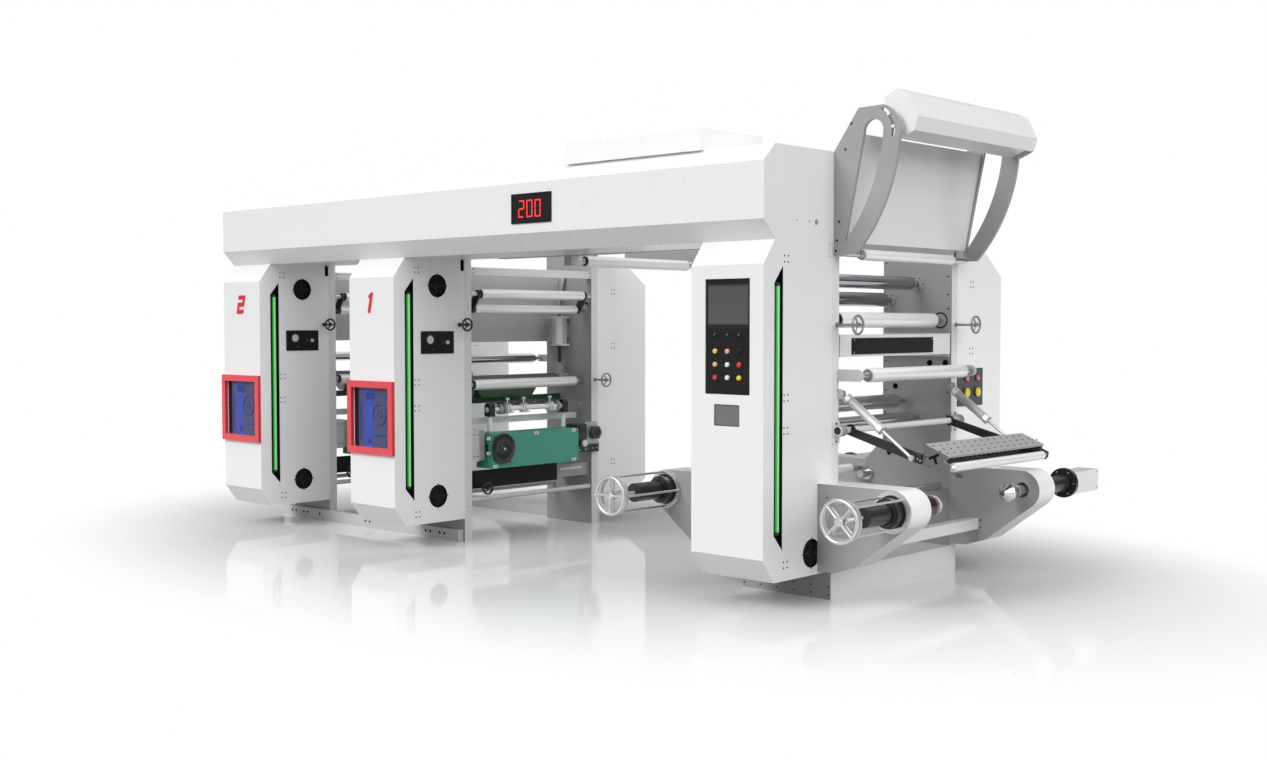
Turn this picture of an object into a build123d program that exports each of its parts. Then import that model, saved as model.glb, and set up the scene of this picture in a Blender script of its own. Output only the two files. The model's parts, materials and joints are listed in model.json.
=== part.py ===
"""Two-colour rotogravure press with shaftless unwind and rewind stands.

The press is three columns in a row under one overhead beam: a main tower at
the right and two print units to its left.  Lengths are in millimetres.  The
origin is on the floor, under the middle of the tower's plinth, on the centre
line of the web.  +X runs along the beam from the print units to the tower,
+Y points away from the operator and +Z is up.  Places given as (x, z) pairs
are measured from the right face of the tower or of the unit they belong to.
"""
from build123d import *
import math
import os

# Driving dimensions of the frame
WEB_GAP = 1090.0            # clear width between front and rear frame plates
PLATE = 60.0                # thickness of the frame plates
COLUMN = 450.0              # length of each column along the press
PLINTH_LENGTH = 570.0       # foot of the tower, wider than its column
PLINTH_HEIGHT = 147.0
FLARE_LOW = 600.0           # where the tower plate starts to widen
FLARE_HIGH = 726.0
TOWER_TO_UNIT = 2841.0      # right face of the tower to right face of unit 1
UNIT_PITCH = 1475.0
UNIT_COUNT = 2

# Driving dimensions of the housings and the beam
HOUSING_DEPTH = 557.0       # front housing, in front of the plate
HOUSING_BOTTOM = 148.0
BEVEL_DEPTH = 86.0
BEVEL_HEIGHT = 118.0
NOTCH = 1800.0              # top of the columns, underside of the beam
BEAM_HEIGHT = 456.0
BEAM_LOW_BEVEL = 95.0
BEAM_TOP_BEVEL = 84.0
REAR_DEPTH = 492.0          # rear cabinets
REAR_BEVEL_DEPTH = 180.0
REAR_BEVEL_HEIGHT = 131.0
TOP_BOX = (960.0, 500.0, 110.0)
TOP_BOX_END = 445.0         # from the tower's right face
BRIDGE_RISE = 86.0          # bridge plate's underside above the columns
BRIDGE_HEIGHT = 114.0
BRIDGE_DROP = 89.0          # how much deeper the bridge is beside the tower
BRIDGE_DEEP_FROM = 320.0    # from unit 1, where the deep part starts
RAIL_HEIGHT = 77.0          # rail along the floor between the units
RAIL_THICK = 40.0
RAIL_OVERHANG = 66.0
RAIL_SHORT = 20.0           # how far the rail stops short of the unit's face

# Running gaps and round bars
SEAT_GAP = 0.3              # end play beside a journal
RUNNING_GAP = 0.5           # between a sliding bar and its bush
BORE_GAP = 1.5              # between a journal and the plate it passes
BAR_SIDES = 12              # flats on small round bars
RING_SIDES = 28             # flats on rims and rings

tower_right = PLINTH_LENGTH / 2
tower_left = tower_right - COLUMN
plinth_left = -PLINTH_LENGTH / 2
inner = WEB_GAP / 2
outer = inner + PLATE
housing_face = -outer - HOUSING_DEPTH
beam_top = NOTCH + BEAM_HEIGHT
bridge_bottom = NOTCH + BRIDGE_RISE
unit_rights = [tower_right - TOWER_TO_UNIT - n * UNIT_PITCH for n in range(UNIT_COUNT)]
column_rights = [tower_right] + unit_rights
press_left = unit_rights[-1] - COLUMN


def block(x, y, z):
    """A box between pairs of coordinates."""
    size = (abs(x[1] - x[0]), abs(y[1] - y[0]), abs(z[1] - z[0]))
    centre = ((x[0] + x[1]) / 2, (y[0] + y[1]) / 2, (z[0] + z[1]) / 2)
    return Pos(*centre) * Box(*size)


def across(x, z, radius, y):
    """A cylinder across the press, from y[0] to y[1]."""
    centre = Pos(x, (y[0] + y[1]) / 2, z) * Rot(90, 0, 0)
    return centre * Cylinder(radius, abs(y[1] - y[0]))


def bar(start, end, radius, sides=BAR_SIDES):
    """A bar with flats between two points."""
    way = Vector(*end) - Vector(*start)
    return extrude(Plane(origin=start, z_dir=way) * RegularPolygon(radius, sides), way.length)


def frustum(start, end, radii, sides):
    """A cone with flats between two points, with its radius at each."""
    rings = []
    for place, radius in zip((start, end), radii):
        plane = Plane(origin=place, z_dir=Vector(*end) - Vector(*start))
        turns = [math.tau * n / sides for n in range(sides)]
        rings.append([plane.from_local_coords((radius * math.cos(t), radius * math.sin(t))) for t in turns])
    near, far = rings
    corners = [near, far]
    corners += [[near[n - 1], near[n], far[n], far[n - 1]] for n in range(sides)]
    return Solid(Shell([make_face(Polyline(*points, close=True)).face() for points in corners]))


def bar_across(x, z, radius, y, sides=BAR_SIDES):
    """A bar with flats across the press, from y[0] to y[1]."""
    return bar((x, y[0], z), (x, y[1], z), radius, sides)


def bar_along(y, z, radius, x, sides=BAR_SIDES):
    """A bar with flats along the press, from x[0] to x[1]."""
    return bar((x[0], y, z), (x[1], y, z), radius, sides)


def outline(*lines):
    """A flat face bounded by lines and arcs that meet end to end."""
    return make_face([edge for line in lines for edge in line.edges()])


def side_shape(face, y):
    """An (x, z) outline made into a plate from y[0] to y[1]."""
    return extrude(Plane.XZ.offset(-y[0]) * face, y[1] - y[0], dir=(0, 1, 0))


def side_plate(points, y):
    """A plate whose outline is given as (x, z) points."""
    return side_shape(outline(Polyline(*points, close=True)), y)


def end_prism(points, x):
    """A prism along the press whose outline is given as (y, z) points."""
    face = outline(Polyline(*points, close=True))
    return extrude(Plane.YZ.offset(x[0]) * face, x[1] - x[0])


def from_right(right, points):
    """Points measured from a right face, as places along the press."""
    return [(right + x, z) for x, z in points]


def mirrored(shape):
    """The same piece on the other side of the web."""
    return mirror(shape, about=Plane.XZ)


def both_sides(shape):
    """A piece on the rear side and its twin on the front side."""
    return [shape, mirrored(shape)]


def save(name, solids):
    """Write the solids of one sub-part."""
    if not isinstance(solids, list):
        solids = [solids]
    pieces = [piece for shape in solids for piece in shape.solids()]
    export_step(Compound(children=pieces), f"parts/{name}.step")


# The frame
BRIDGE_ROLLER = (-1895.0, 29.0, 33.0)   # x, drop below the deep part, radius
LUG_HALF = 30.0
LUG_BELOW = 28.0


def bridge_roller_place():
    """Axis of the guide roller under the bridge, as (x, z)."""
    return tower_right + BRIDGE_ROLLER[0], bridge_bottom - BRIDGE_DROP - BRIDGE_ROLLER[1]


def tower_plate():
    """Frame plate of the tower, widened at its foot."""
    points = [
        (tower_left, beam_top), (tower_right, beam_top), (tower_right, 0),
        (plinth_left, 0), (plinth_left, FLARE_LOW), (tower_left, FLARE_HIGH),
    ]
    return side_plate(points, (inner, outer))


def unit_plate(right):
    """Frame plate of a print unit."""
    return block((right - COLUMN, right), (inner, outer), (0, bridge_bottom))


def plinth():
    """Closed base between the tower plates."""
    return block((plinth_left, tower_right), (-inner, inner), (0, PLINTH_HEIGHT))


def bridge_plate():
    """Long plate that joins the tower and the units at the top."""
    top = bridge_bottom + BRIDGE_HEIGHT
    deep = unit_rights[0] + BRIDGE_DEEP_FROM
    low = bridge_bottom - BRIDGE_DROP
    points = [
        (press_left, top), (tower_left, top), (tower_left, low), (deep, low),
        (deep, bridge_bottom), (press_left, bridge_bottom),
    ]
    x, z = bridge_roller_place()
    lug = block((x - LUG_HALF, x + LUG_HALF), (inner, outer), (z - LUG_BELOW, low))
    return side_plate(points, (inner, outer)) + lug


def floor_rail():
    """Rail along the floor that joins the feet of the two units."""
    x = (press_left - RAIL_OVERHANG, unit_rights[0] - RAIL_SHORT)
    return block(x, (outer, outer + RAIL_THICK), (0, RAIL_HEIGHT))


# Housings and what is let into them
STRIP_FROM = 407.0          # light strip, measured forward of the plate
STRIP_WIDTH = 66.0
STRIP_LOW = (376.0, 300.0)          # height of its low end, far and near
STRIP_DROP = (207.0, 125.0)         # its high end below the column's top
STRIP_DEPTH = 25.0
TUBE_RADIUS = 14.0
VENT_RADIUS = 72.0
VENT_DEPTH = 18.0
VENT_SIDES = 24
UNIT_VENT_BACK = 217.0
UNIT_VENT_LEVELS = (313.0, 1632.0)
TOWER_VENT_BACK = 165.0
TOWER_VENT_LEVEL = 258.0
GUARD_SLOT = (28.0, 70.0, 85.0, 20.0)   # width, drop from the top, height, depth
PANEL_THICK = 6.0
PANEL_RECESS = 14.0
PANEL_GAP = 1.0
CONTROL_PANEL = ((-362.0, -83.0), (1053.0, 1614.0))
SMALL_WINDOW = ((-304.0, -145.0), (899.0, 1004.0))
SMALL_WINDOW_RECESS = 8.0
WINDOW_LEVELS = (587.0, 1041.0)
WINDOW_FRAME = 42.0
WINDOW_THICK = 22.0
WINDOW_MARGIN = 4.0         # how far the red frame stands past the housing
WINDOW_RECESS = 10.0
PANE_THICK = 4.0


def housing_outline():
    """Front housing seen from the side, as (y, z) points."""
    bevel = housing_face + BEVEL_DEPTH
    return [
        (-outer, HOUSING_BOTTOM), (bevel, HOUSING_BOTTOM),
        (housing_face, HOUSING_BOTTOM + BEVEL_HEIGHT), (housing_face, NOTCH - BEVEL_HEIGHT),
        (bevel, NOTCH), (-outer, NOTCH),
    ]


def light_recess(right):
    """Slanted slot in the side of a housing for its light strip."""
    near = -outer - STRIP_FROM
    far = near - STRIP_WIDTH
    points = [
        (far, STRIP_LOW[0]), (near, STRIP_LOW[1]),
        (near, NOTCH - STRIP_DROP[1]), (far, NOTCH - STRIP_DROP[0]),
    ]
    return end_prism(points, (right - STRIP_DEPTH, right + 1))


def vent(right, back, level):
    """Round fan opening in the side of a housing."""
    return bar_along(-outer - back, level, VENT_RADIUS, (right - VENT_DEPTH, right + 1), VENT_SIDES)


def front_recess(x, z, depth):
    """A rectangular recess in the front face of a housing."""
    return block(x, (housing_face - 1, housing_face + depth), z)


def tower_front_housing():
    """Closed housing in front of the tower, with its panel let in."""
    body = end_prism(housing_outline(), (tower_left, tower_right))
    body -= light_recess(tower_right)
    body -= vent(tower_right, TOWER_VENT_BACK, TOWER_VENT_LEVEL)
    for (x, z), depth in ((CONTROL_PANEL, PANEL_RECESS), (SMALL_WINDOW, SMALL_WINDOW_RECESS)):
        body -= front_recess((tower_right + x[0], tower_right + x[1]), z, depth)
    return body


def window_hole(right):
    """Sides and levels of the opening in a unit's red window frame."""
    x = (right - COLUMN - WINDOW_MARGIN + WINDOW_FRAME, right + WINDOW_MARGIN - WINDOW_FRAME)
    return x, (WINDOW_LEVELS[0] + WINDOW_FRAME, WINDOW_LEVELS[1] - WINDOW_FRAME)


def unit_front_housing(right):
    """Closed housing in front of a print unit."""
    body = end_prism(housing_outline(), (right - COLUMN, right))
    body -= light_recess(right)
    for level in UNIT_VENT_LEVELS:
        body -= vent(right, UNIT_VENT_BACK, level)
    width, drop, height, depth = GUARD_SLOT
    top = NOTCH - drop + height
    body -= block((right - depth, right + 1), (-outer - width, -outer), (top - height, min(top, NOTCH)))
    return body - front_recess(*window_hole(right), WINDOW_RECESS)


def rear_cabinet(right):
    """Closed cabinet behind a column."""
    face = outer + REAR_DEPTH
    fold = face - REAR_BEVEL_DEPTH
    points = [
        (outer, HOUSING_BOTTOM), (fold, HOUSING_BOTTOM),
        (face, HOUSING_BOTTOM + REAR_BEVEL_HEIGHT), (face, NOTCH - REAR_BEVEL_HEIGHT),
        (fold, NOTCH), (outer, NOTCH),
    ]
    return end_prism(points, (right - COLUMN, right))


def overhead_beam():
    """Beam over the front housings."""
    bevel = housing_face + BEVEL_DEPTH
    points = [
        (-outer, NOTCH), (bevel, NOTCH), (housing_face, NOTCH + BEAM_LOW_BEVEL),
        (housing_face, beam_top - BEAM_TOP_BEVEL), (bevel, beam_top), (-outer, beam_top),
    ]
    return end_prism(points, (press_left, tower_right))


def top_box():
    """Low cable box on top of the beam."""
    right = tower_right - TOP_BOX_END
    y = (-outer - TOP_BOX[1], -outer)
    return block((right - TOP_BOX[0], right), y, (beam_top, beam_top + TOP_BOX[2]))


def light_tube(right):
    """Light tube in its slanted slot."""
    y = -outer - STRIP_FROM - STRIP_WIDTH / 2
    x = right - STRIP_DEPTH + TUBE_RADIUS
    return bar((x, y, STRIP_LOW[0]), (x, y, NOTCH - STRIP_DROP[0]), TUBE_RADIUS)


def unit_window(right):
    """Red frame round the window of a unit."""
    x = (right - COLUMN - WINDOW_MARGIN, right + WINDOW_MARGIN)
    y = (housing_face - WINDOW_THICK, housing_face)
    return block(x, y, WINDOW_LEVELS) - block(window_hole(right)[0], y, window_hole(right)[1])


def unit_pane(right):
    """Tinted pane at the bottom of a unit's window recess."""
    floor = housing_face + WINDOW_RECESS
    x, z = window_hole(right)
    inset = PANEL_GAP
    return block((x[0] + inset, x[1] - inset), (floor - PANE_THICK, floor), (z[0] + inset, z[1] - inset))


# Panels
SCREEN = ((-351.0, -91.0), (1388.0, 1587.0))
SCREEN_THICK = 3.0
SELECTOR_COLUMNS = (-299.0, -222.0, -149.0)
SELECTOR_ROW = 1341.0
BUTTON_ROWS = (1263.0, 1198.0, 1135.0)
BUTTON_RADIUS = 15.0
BUTTON_HEIGHT = 14.0
KNOB_WIDTH = 10.0
DISPLAY_X = (-1768.0, -1449.0)
DISPLAY_RISE = (148.0, 312.0)       # above the beam's underside
UNIT_PANEL = ((89.0, 350.0), (1208.0, 1349.0))      # forward of the plate, height
GAUGE = (0.72, 0.58, 27.0)          # shares of the unit panel's sides, radius
PANEL_BUTTON = (0.22, 0.5)
REAR_PANEL = ((3.0, 280.0), (928.0, 1142.0))        # behind the plate, height
REAR_BUTTONS = ((0.32, 0.74, 17.0), (0.75, 0.74, 17.0), (0.32, 0.36, 27.0), (0.75, 0.36, 27.0))


def knob_across(x, z, y):
    """A selector: a round base with a bar across its face."""
    base = bar_across(x, z, BUTTON_RADIUS, (y - BUTTON_HEIGHT / 2, y))
    grip = block(
        (x - BUTTON_RADIUS, x + BUTTON_RADIUS), (y - BUTTON_HEIGHT, y),
        (z - KNOB_WIDTH / 2, z + KNOB_WIDTH / 2),
    )
    return base + Pos(x, 0, z) * Rot(0, 25, 0) * Pos(-x, 0, -z) * grip


def control_panel():
    """Operator's panel on the tower, with its screen, selectors and push buttons."""
    floor = housing_face + PANEL_RECESS
    x = [tower_right + value for value in CONTROL_PANEL[0]]
    z = CONTROL_PANEL[1]
    face = floor - PANEL_THICK
    panel = block((x[0] + PANEL_GAP, x[1] - PANEL_GAP), (face, floor), (z[0] + PANEL_GAP, z[1] - PANEL_GAP))
    panel += block([tower_right + value for value in SCREEN[0]], (face - SCREEN_THICK, face), SCREEN[1])
    for column in SELECTOR_COLUMNS:
        panel += knob_across(tower_right + column, SELECTOR_ROW, face)
        for row in BUTTON_ROWS:
            panel += bar_across(tower_right + column, row, BUTTON_RADIUS, (face - BUTTON_HEIGHT, face))
    return panel


def small_window():
    """Small dark window under the control panel."""
    floor = housing_face + SMALL_WINDOW_RECESS
    x = [tower_right + value for value in SMALL_WINDOW[0]]
    z = SMALL_WINDOW[1]
    return block(
        (x[0] + PANEL_GAP, x[1] - PANEL_GAP), (floor - PANE_THICK, floor),
        (z[0] + PANEL_GAP, z[1] - PANEL_GAP),
    )


def speed_display():
    """Number display on the beam."""
    x = [tower_right + value for value in DISPLAY_X]
    z = [NOTCH + value for value in DISPLAY_RISE]
    return block(x, (housing_face - PANEL_THICK, housing_face), z)


def along_button(panel_y, panel_z, share_y, share_z, radius, x):
    """A round button on a panel that faces along the press."""
    y = panel_y[0] + share_y * (panel_y[1] - panel_y[0])
    z = panel_z[0] + share_z * (panel_z[1] - panel_z[0])
    return bar_along(y, z, radius, (x, x + BUTTON_HEIGHT))


def unit_panel(right):
    """Panel with a gauge and a button on the side of a unit's housing."""
    y = (-outer - UNIT_PANEL[0][1], -outer - UNIT_PANEL[0][0])
    z = UNIT_PANEL[1]
    face = right + PANEL_THICK
    panel = block((right, face), y, z)
    panel += along_button(y, z, 1 - GAUGE[0], GAUGE[1], GAUGE[2], face)
    return panel + along_button(y, z, 1 - PANEL_BUTTON[0], PANEL_BUTTON[1], BUTTON_RADIUS, face)


def rear_panel():
    """Button panel on the side of the tower's rear cabinet."""
    y = (outer + REAR_PANEL[0][0], outer + REAR_PANEL[0][1])
    z = REAR_PANEL[1]
    face = tower_right + PANEL_THICK
    panel = block((tower_right, face), y, z)
    for share_y, share_z, radius in REAR_BUTTONS:
        panel += along_button(y, z, share_y, share_z, radius, face)
    return panel


# Rollers
FACE_LENGTH = 940.0
JOURNAL = 15.0
TOWER_ROLLERS = {
    "tower_upper_roller": (-223.0, 1623.0, 37.0),
    "tower_second_roller": (-404.0, 1533.0, 40.0),
    "tower_draw_cylinder": (-72.0, 1415.0, 40.0),
}
LOW_ROLLERS = [(-312.0, 955.0, 40.0), (-217.0, 866.0, 31.0), (-620.0, 545.0, 30.0)]
UNIT_ROLLERS = {
    "top_roller": (-9.0, 1586.0, 33.0),
    "second_roller": (-74.0, 1490.0, 29.0),
    "exit_roller": (-83.0, 998.0, 33.0),
}
REAR_ROLLER = (-514.0, 1149.0, 33.0)
REAR_BRACKET = (14.0, 50.0, 6.0)        # thickness, height, reach past the axis
GUIDE_ROLLER = (121.0, 1136.0, 36.0)
TOP_ROLLER = (60.0, 511.0, 28.0)        # x, drop below the beam's top, radius
TOP_ROLLER_FACE = 880.0
IMPRESSION_ROLLER = (-260.0, 1008.0, 42.0)
IMPRESSION_FACE = 880.0
BEARING_BACK = 95.0         # bearing blocks' inner faces, in from the plates


def roller(x, z, radius, face=FACE_LENGTH, reach=inner - SEAT_GAP):
    """A web roller with a journal at each end."""
    return across(x, z, radius, (-face / 2, face / 2)) + bar_across(x, z, JOURNAL, (-reach, reach))


def top_roller_place():
    """Axis of the roller under the hood, as (x, z)."""
    return tower_right + TOP_ROLLER[0], beam_top - TOP_ROLLER[1]


def impression_roller(right):
    """Impression roller between its bearing blocks."""
    x, z, radius = IMPRESSION_ROLLER
    reach = inner - BEARING_BACK - SEAT_GAP
    return roller(right + x, z, radius, IMPRESSION_FACE, reach)


def rear_roller(right):
    """Guide roller behind a unit, on two short bars."""
    x, z, radius = REAR_ROLLER
    thick, height, past = REAR_BRACKET
    start = right + x - past - JOURNAL
    bracket = block((start, right - COLUMN), (inner, inner + thick), (z - height / 2, z + height / 2))
    return roller(right + x, z, radius, reach=inner) + both_sides(bracket)


def idle_rollers():
    """Guide rollers behind the units, low in the tower and under the bridge."""
    pieces = [rear_roller(right) for right in unit_rights]
    pieces += [roller(tower_right + x, z, radius, reach=inner) for x, z, radius in LOW_ROLLERS]
    x, z = bridge_roller_place()
    return pieces + [roller(x, z, BRIDGE_ROLLER[2], reach=inner)]


# Nip frame of the rewind side and its air cylinders
NIP_PIVOT = (30.0, 858.0)
NIP_SHAFT = 16.0
NIP_ARM = (485.0, 500.0)                # inner and outer face of an arm
NIP_ARM_HALF = 20.0
NIP_ARM_END = [(447.0, 712.0), (459.0, 760.0)]
NIP_BOX = [(467.0, 811.0), (597.0, 758.0), (558.0, 681.0), (447.0, 709.0)]
NIP_SHEET = 6.0
NIP_ROLLER = (604.0, 702.0, 22.0)
NIP_ROLLER_FACE = 900.0
NIP_JOURNAL = 8.0
NIP_END_PLATE = [(560.0, 690.0), (575.0, 735.0), (618.0, 716.0), (612.0, 684.0)]
NIP_END_THICK = 12.0
CYLINDER_Y = 520.0
BARREL_TOP = (5.0, 1044.0)
ROD_END = (415.0, 741.0)
BARREL_EYE = 16.0
BARREL_CAP = 36.0           # where the barrel's cap starts, from its pin
BARREL_LENGTH = 300.0
BARREL_RADIUS = 22.0
BARREL_SIDES = 8
CAP_LENGTH = 28.0
CAP_RADIUS = 27.0
BARREL_BORE_FROM = 110.0
EYE_HALF = 10.0
PIN = 10.0
ROD = 8.0
ROD_FROM = 200.0
ROD_EYE = 14.0
ROD_EYE_HALF = 9.0
STUB_PIN = 9.0
PIVOT_FLANGE = (8.0, 790.0, 905.0)      # thickness, height of its ends
PIVOT_HOUSING = (28.0, 50.0)            # radius, length across the press


def toward(start, end, distance):
    """A point at a distance from start on the way to end."""
    share = distance / math.dist(start, end)
    return start[0] + (end[0] - start[0]) * share, start[1] + (end[1] - start[1]) * share


def on_cylinder(distance, y):
    """A point of an air cylinder's axis, at a distance from its top pin."""
    x, z = toward(BARREL_TOP, ROD_END, distance)
    return tower_right + x, y, z


def nip_frame():
    """Pivot shaft with its two arms and the pins beside the rod ends."""
    x = tower_right + NIP_PIVOT[0]
    z = NIP_PIVOT[1]
    frame = across(x, z, NIP_SHAFT, (-inner + SEAT_GAP, inner - SEAT_GAP))
    root = [(x - NIP_ARM_HALF, z + NIP_ARM_HALF), (x - NIP_ARM_HALF, z - NIP_ARM_HALF)]
    arm_plate = side_plate(root + from_right(tower_right, NIP_ARM_END), NIP_ARM)
    stub = (NIP_ARM[1], CYLINDER_Y - ROD_EYE_HALF - RUNNING_GAP)
    arm_plate += bar_across(tower_right + ROD_END[0], ROD_END[1], STUB_PIN, stub)
    return frame + both_sides(arm_plate)


def nip_box():
    """Folded sheet box with closed ends, open towards its roller."""
    reach = NIP_ARM[0]
    face = outline(Polyline(*from_right(tower_right, NIP_BOX), close=True))
    top_front, low_front = from_right(tower_right, NIP_BOX[1:3])
    between = (-reach + NIP_SHEET, reach - NIP_SHEET)
    hollow = side_shape(offset(face, -NIP_SHEET, kind=Kind.INTERSECTION), between)
    mouth_face = [
        toward(top_front, low_front, 2 * NIP_SHEET),
        toward(low_front, top_front, 2 * NIP_SHEET),
    ]
    back = [(x - 4 * NIP_SHEET, z + 2 * NIP_SHEET) for x, z in reversed(mouth_face)]
    front = [(x + NIP_SHEET, z - NIP_SHEET / 2) for x, z in mouth_face]
    return side_shape(face, (-reach, reach)) - hollow - side_plate(front + back, between)


def nip_ends():
    """End brackets that carry the nip roller."""
    y = (NIP_ARM[0], NIP_ARM[0] + NIP_END_THICK)
    return both_sides(side_plate(from_right(tower_right, NIP_END_PLATE), y))


def nip_roller():
    """White roller in front of the box."""
    x = tower_right + NIP_ROLLER[0]
    z = NIP_ROLLER[1]
    reach = NIP_ARM[0] - SEAT_GAP
    half = NIP_ROLLER_FACE / 2
    return across(x, z, NIP_ROLLER[2], (-half, half)) + bar_across(x, z, NIP_JOURNAL, (-reach, reach))


def nip_barrel(y):
    """Air cylinder barrel with its caps, eye and top pin."""
    top = tower_right + BARREL_TOP[0], BARREL_TOP[1]
    body = bar(on_cylinder(BARREL_CAP, y), on_cylinder(BARREL_LENGTH, y), BARREL_RADIUS, BARREL_SIDES)
    for start in (BARREL_CAP, BARREL_LENGTH - CAP_LENGTH):
        body += bar(on_cylinder(start, y), on_cylinder(start + CAP_LENGTH, y), CAP_RADIUS, BARREL_SIDES)
    body += bar(on_cylinder(0, y), on_cylinder(BARREL_CAP + 1, y), PIN)
    body += bar_across(*top, BARREL_EYE, (y - EYE_HALF, y + EYE_HALF))
    body += bar_across(*top, PIN, (y, math.copysign(inner - SEAT_GAP, y)))
    bore = bar(on_cylinder(BARREL_BORE_FROM, y), on_cylinder(BARREL_LENGTH + 1, y), ROD + 2 * RUNNING_GAP)
    return body - bore


def nip_rod(y):
    """Piston rod with its eye."""
    end = math.dist(BARREL_TOP, ROD_END)
    eye = bar_across(tower_right + ROD_END[0], ROD_END[1], ROD_EYE, (y - ROD_EYE_HALF, y + ROD_EYE_HALF))
    return bar(on_cylinder(ROD_FROM, y), on_cylinder(end, y), ROD) + eye


# Bars and brackets of the tower
PAD = ((-443.0, -14.0), (1211.0, 1345.0), 12.0)     # pad on each plate and its thickness
NAME_BAR = ((-60.0, -2.0), (1227.0, 1340.0))
NAME_PLATE = (8.0, (-431.0, 343.0), (1240.0, 1323.0))
LOW_ROD = (-75.0, 480.0, 25.0)
PIN_STUB = (-551.0, 518.0)
PIN_FLANGE = (38.0, 12.0)
PIN_BODY = (22.0, 80.0)
STUB_SIDES = 16
BRACKET_THICK = 14.0
GUIDE_BRACKET_HALF = 30.0
BARREL_BRACKET_HALF = 24.0


def name_bar():
    """Crossbar with its plate, bare, between the pads of the plates."""
    reach = inner - PAD[2]
    x = [tower_right + value for value in NAME_BAR[0]]
    plate = block((x[1], x[1] + NAME_PLATE[0]), NAME_PLATE[1], NAME_PLATE[2])
    return block(x, (-reach, reach), NAME_BAR[1]) + plate


def bar_pad():
    """Long pad on the inner face of a plate, behind the crossbar's end."""
    x = [tower_right + value for value in PAD[0]]
    return block(x, (inner - PAD[2], inner), PAD[1])


def pin_stub():
    """Flanged pin on the inner face of a tower plate."""
    x = tower_right + PIN_STUB[0]
    flange = bar_across(x, PIN_STUB[1], PIN_FLANGE[0], (inner - PIN_FLANGE[1], inner), STUB_SIDES)
    return flange + bar_across(x, PIN_STUB[1], PIN_BODY[0], (inner - PIN_BODY[1], inner), STUB_SIDES)


def lug_plate(place, half, thick):
    """Lug on the plate's edge, with a round end about a pin."""
    x = tower_right + place[0]
    z = place[1]
    face = outline(
        Polyline((x, z + half), (tower_right, z + half), (tower_right, z - half), (x, z - half)),
        ThreePointArc((x, z - half), (x + half, z), (x, z + half)),
    )
    return side_shape(face, (inner, inner + thick))


def pivot_bracket():
    """Flanged bearing on the plate's edge, beside the nip frame's shaft."""
    x = tower_right + NIP_PIVOT[0]
    thick, low, high = PIVOT_FLANGE
    radius, length = PIVOT_HOUSING
    flange = block((tower_right, tower_right + thick), (inner, outer), (low, high))
    return flange + bar_across(x, NIP_PIVOT[1], radius, (inner, inner + length), STUB_SIDES)


def tower_brackets():
    """Brackets on the edges of both tower plates."""
    pieces = both_sides(lug_plate(GUIDE_ROLLER, GUIDE_BRACKET_HALF, BRACKET_THICK))
    pieces += both_sides(lug_plate(BARREL_TOP, BARREL_BRACKET_HALF, BRACKET_THICK))
    return pieces + both_sides(pivot_bracket())


# Hood over the tower.  Heights are from the beam's top.
HOOD_PIVOT = (233.0, 84.0)
BRACKET_Y = (575.0, 595.0)  # inner and outer face of a bracket
BRACKET_EDGE = [(135.0, -513.0), (0.0, -516.0), (0.0, 0.0), (144.0, 203.0), (286.0, 206.0)]
BRACKET_HEAD = [(356.0, 158.0), (382.0, 74.0)]
BRACKET_BOW = (319.0, -222.0)
WINDOW_FOOT = (66.0, -455.0)
WINDOW_TOP = 56.0           # radius of the round top, about the pivot
WINDOW_BOW = (233.0, -168.0)
SLOT_RADIUS = 113.0
SLOT_WIDTH = 18.0
SLOT_FROM = -15.0
SLOT_SPAN = 77.0
HOOD_PINS = (5.0, 40.0)     # degrees about the pivot
PIN_RADIUS = 8.6
PIN_PROUD = 6.0
HOOD_POINTS = [(253.0, 245.0), (335.0, 284.0), (394.0, 253.0), (449.0, 142.0), (429.0, 74.0), (347.0, 39.0)]
HOOD_WALL = 5.0
HOOD_FRONT_GAP = 5.0        # from the front bracket
HOOD_REACH = 660.0          # how far it reaches to the rear
STRUT_SLIT = ((300.0, 425.0), 8.0, (29.0, 80.0))
BACK_SHEET = [(50.0, -454.0), (62.0, -454.0), (162.0, 74.0), (150.0, 74.0)]


def hood_places(points):
    """Points of the hood, from the tower's right face and the beam's top."""
    return [(tower_right + x, beam_top + z) for x, z in points]


def hood_bracket():
    """Plate with a bowed strut, a round-topped window and an arc slot."""
    edge = hood_places(BRACKET_EDGE)
    head_middle, head_end = hood_places(BRACKET_HEAD)
    bow, foot, inside_bow, pivot = hood_places([BRACKET_BOW, WINDOW_FOOT, WINDOW_BOW, HOOD_PIVOT])
    plate = outline(
        Polyline(*edge), ThreePointArc(edge[-1], head_middle, head_end),
        ThreePointArc(head_end, bow, edge[0]),
    )
    left = (pivot[0] - WINDOW_TOP, pivot[1])
    right = (pivot[0] + WINDOW_TOP, pivot[1])
    window = outline(
        Line(foot, left), ThreePointArc(left, (pivot[0], pivot[1] + WINDOW_TOP), right),
        ThreePointArc(right, inside_bow, foot),
    )
    slot = Pos(*pivot) * SlotArc(CenterArc((0, 0), SLOT_RADIUS, SLOT_FROM, SLOT_SPAN), SLOT_WIDTH)
    through = (BRACKET_Y[0] - 1, BRACKET_Y[1] + 1)
    return side_shape(plate, BRACKET_Y) - side_shape(window, through) - side_shape(slot, through)


def hood_back_sheet():
    """Sloping sheet between the hood's brackets."""
    return side_plate(hood_places(BACK_SHEET), (-BRACKET_Y[0], BRACKET_Y[0]))


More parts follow.
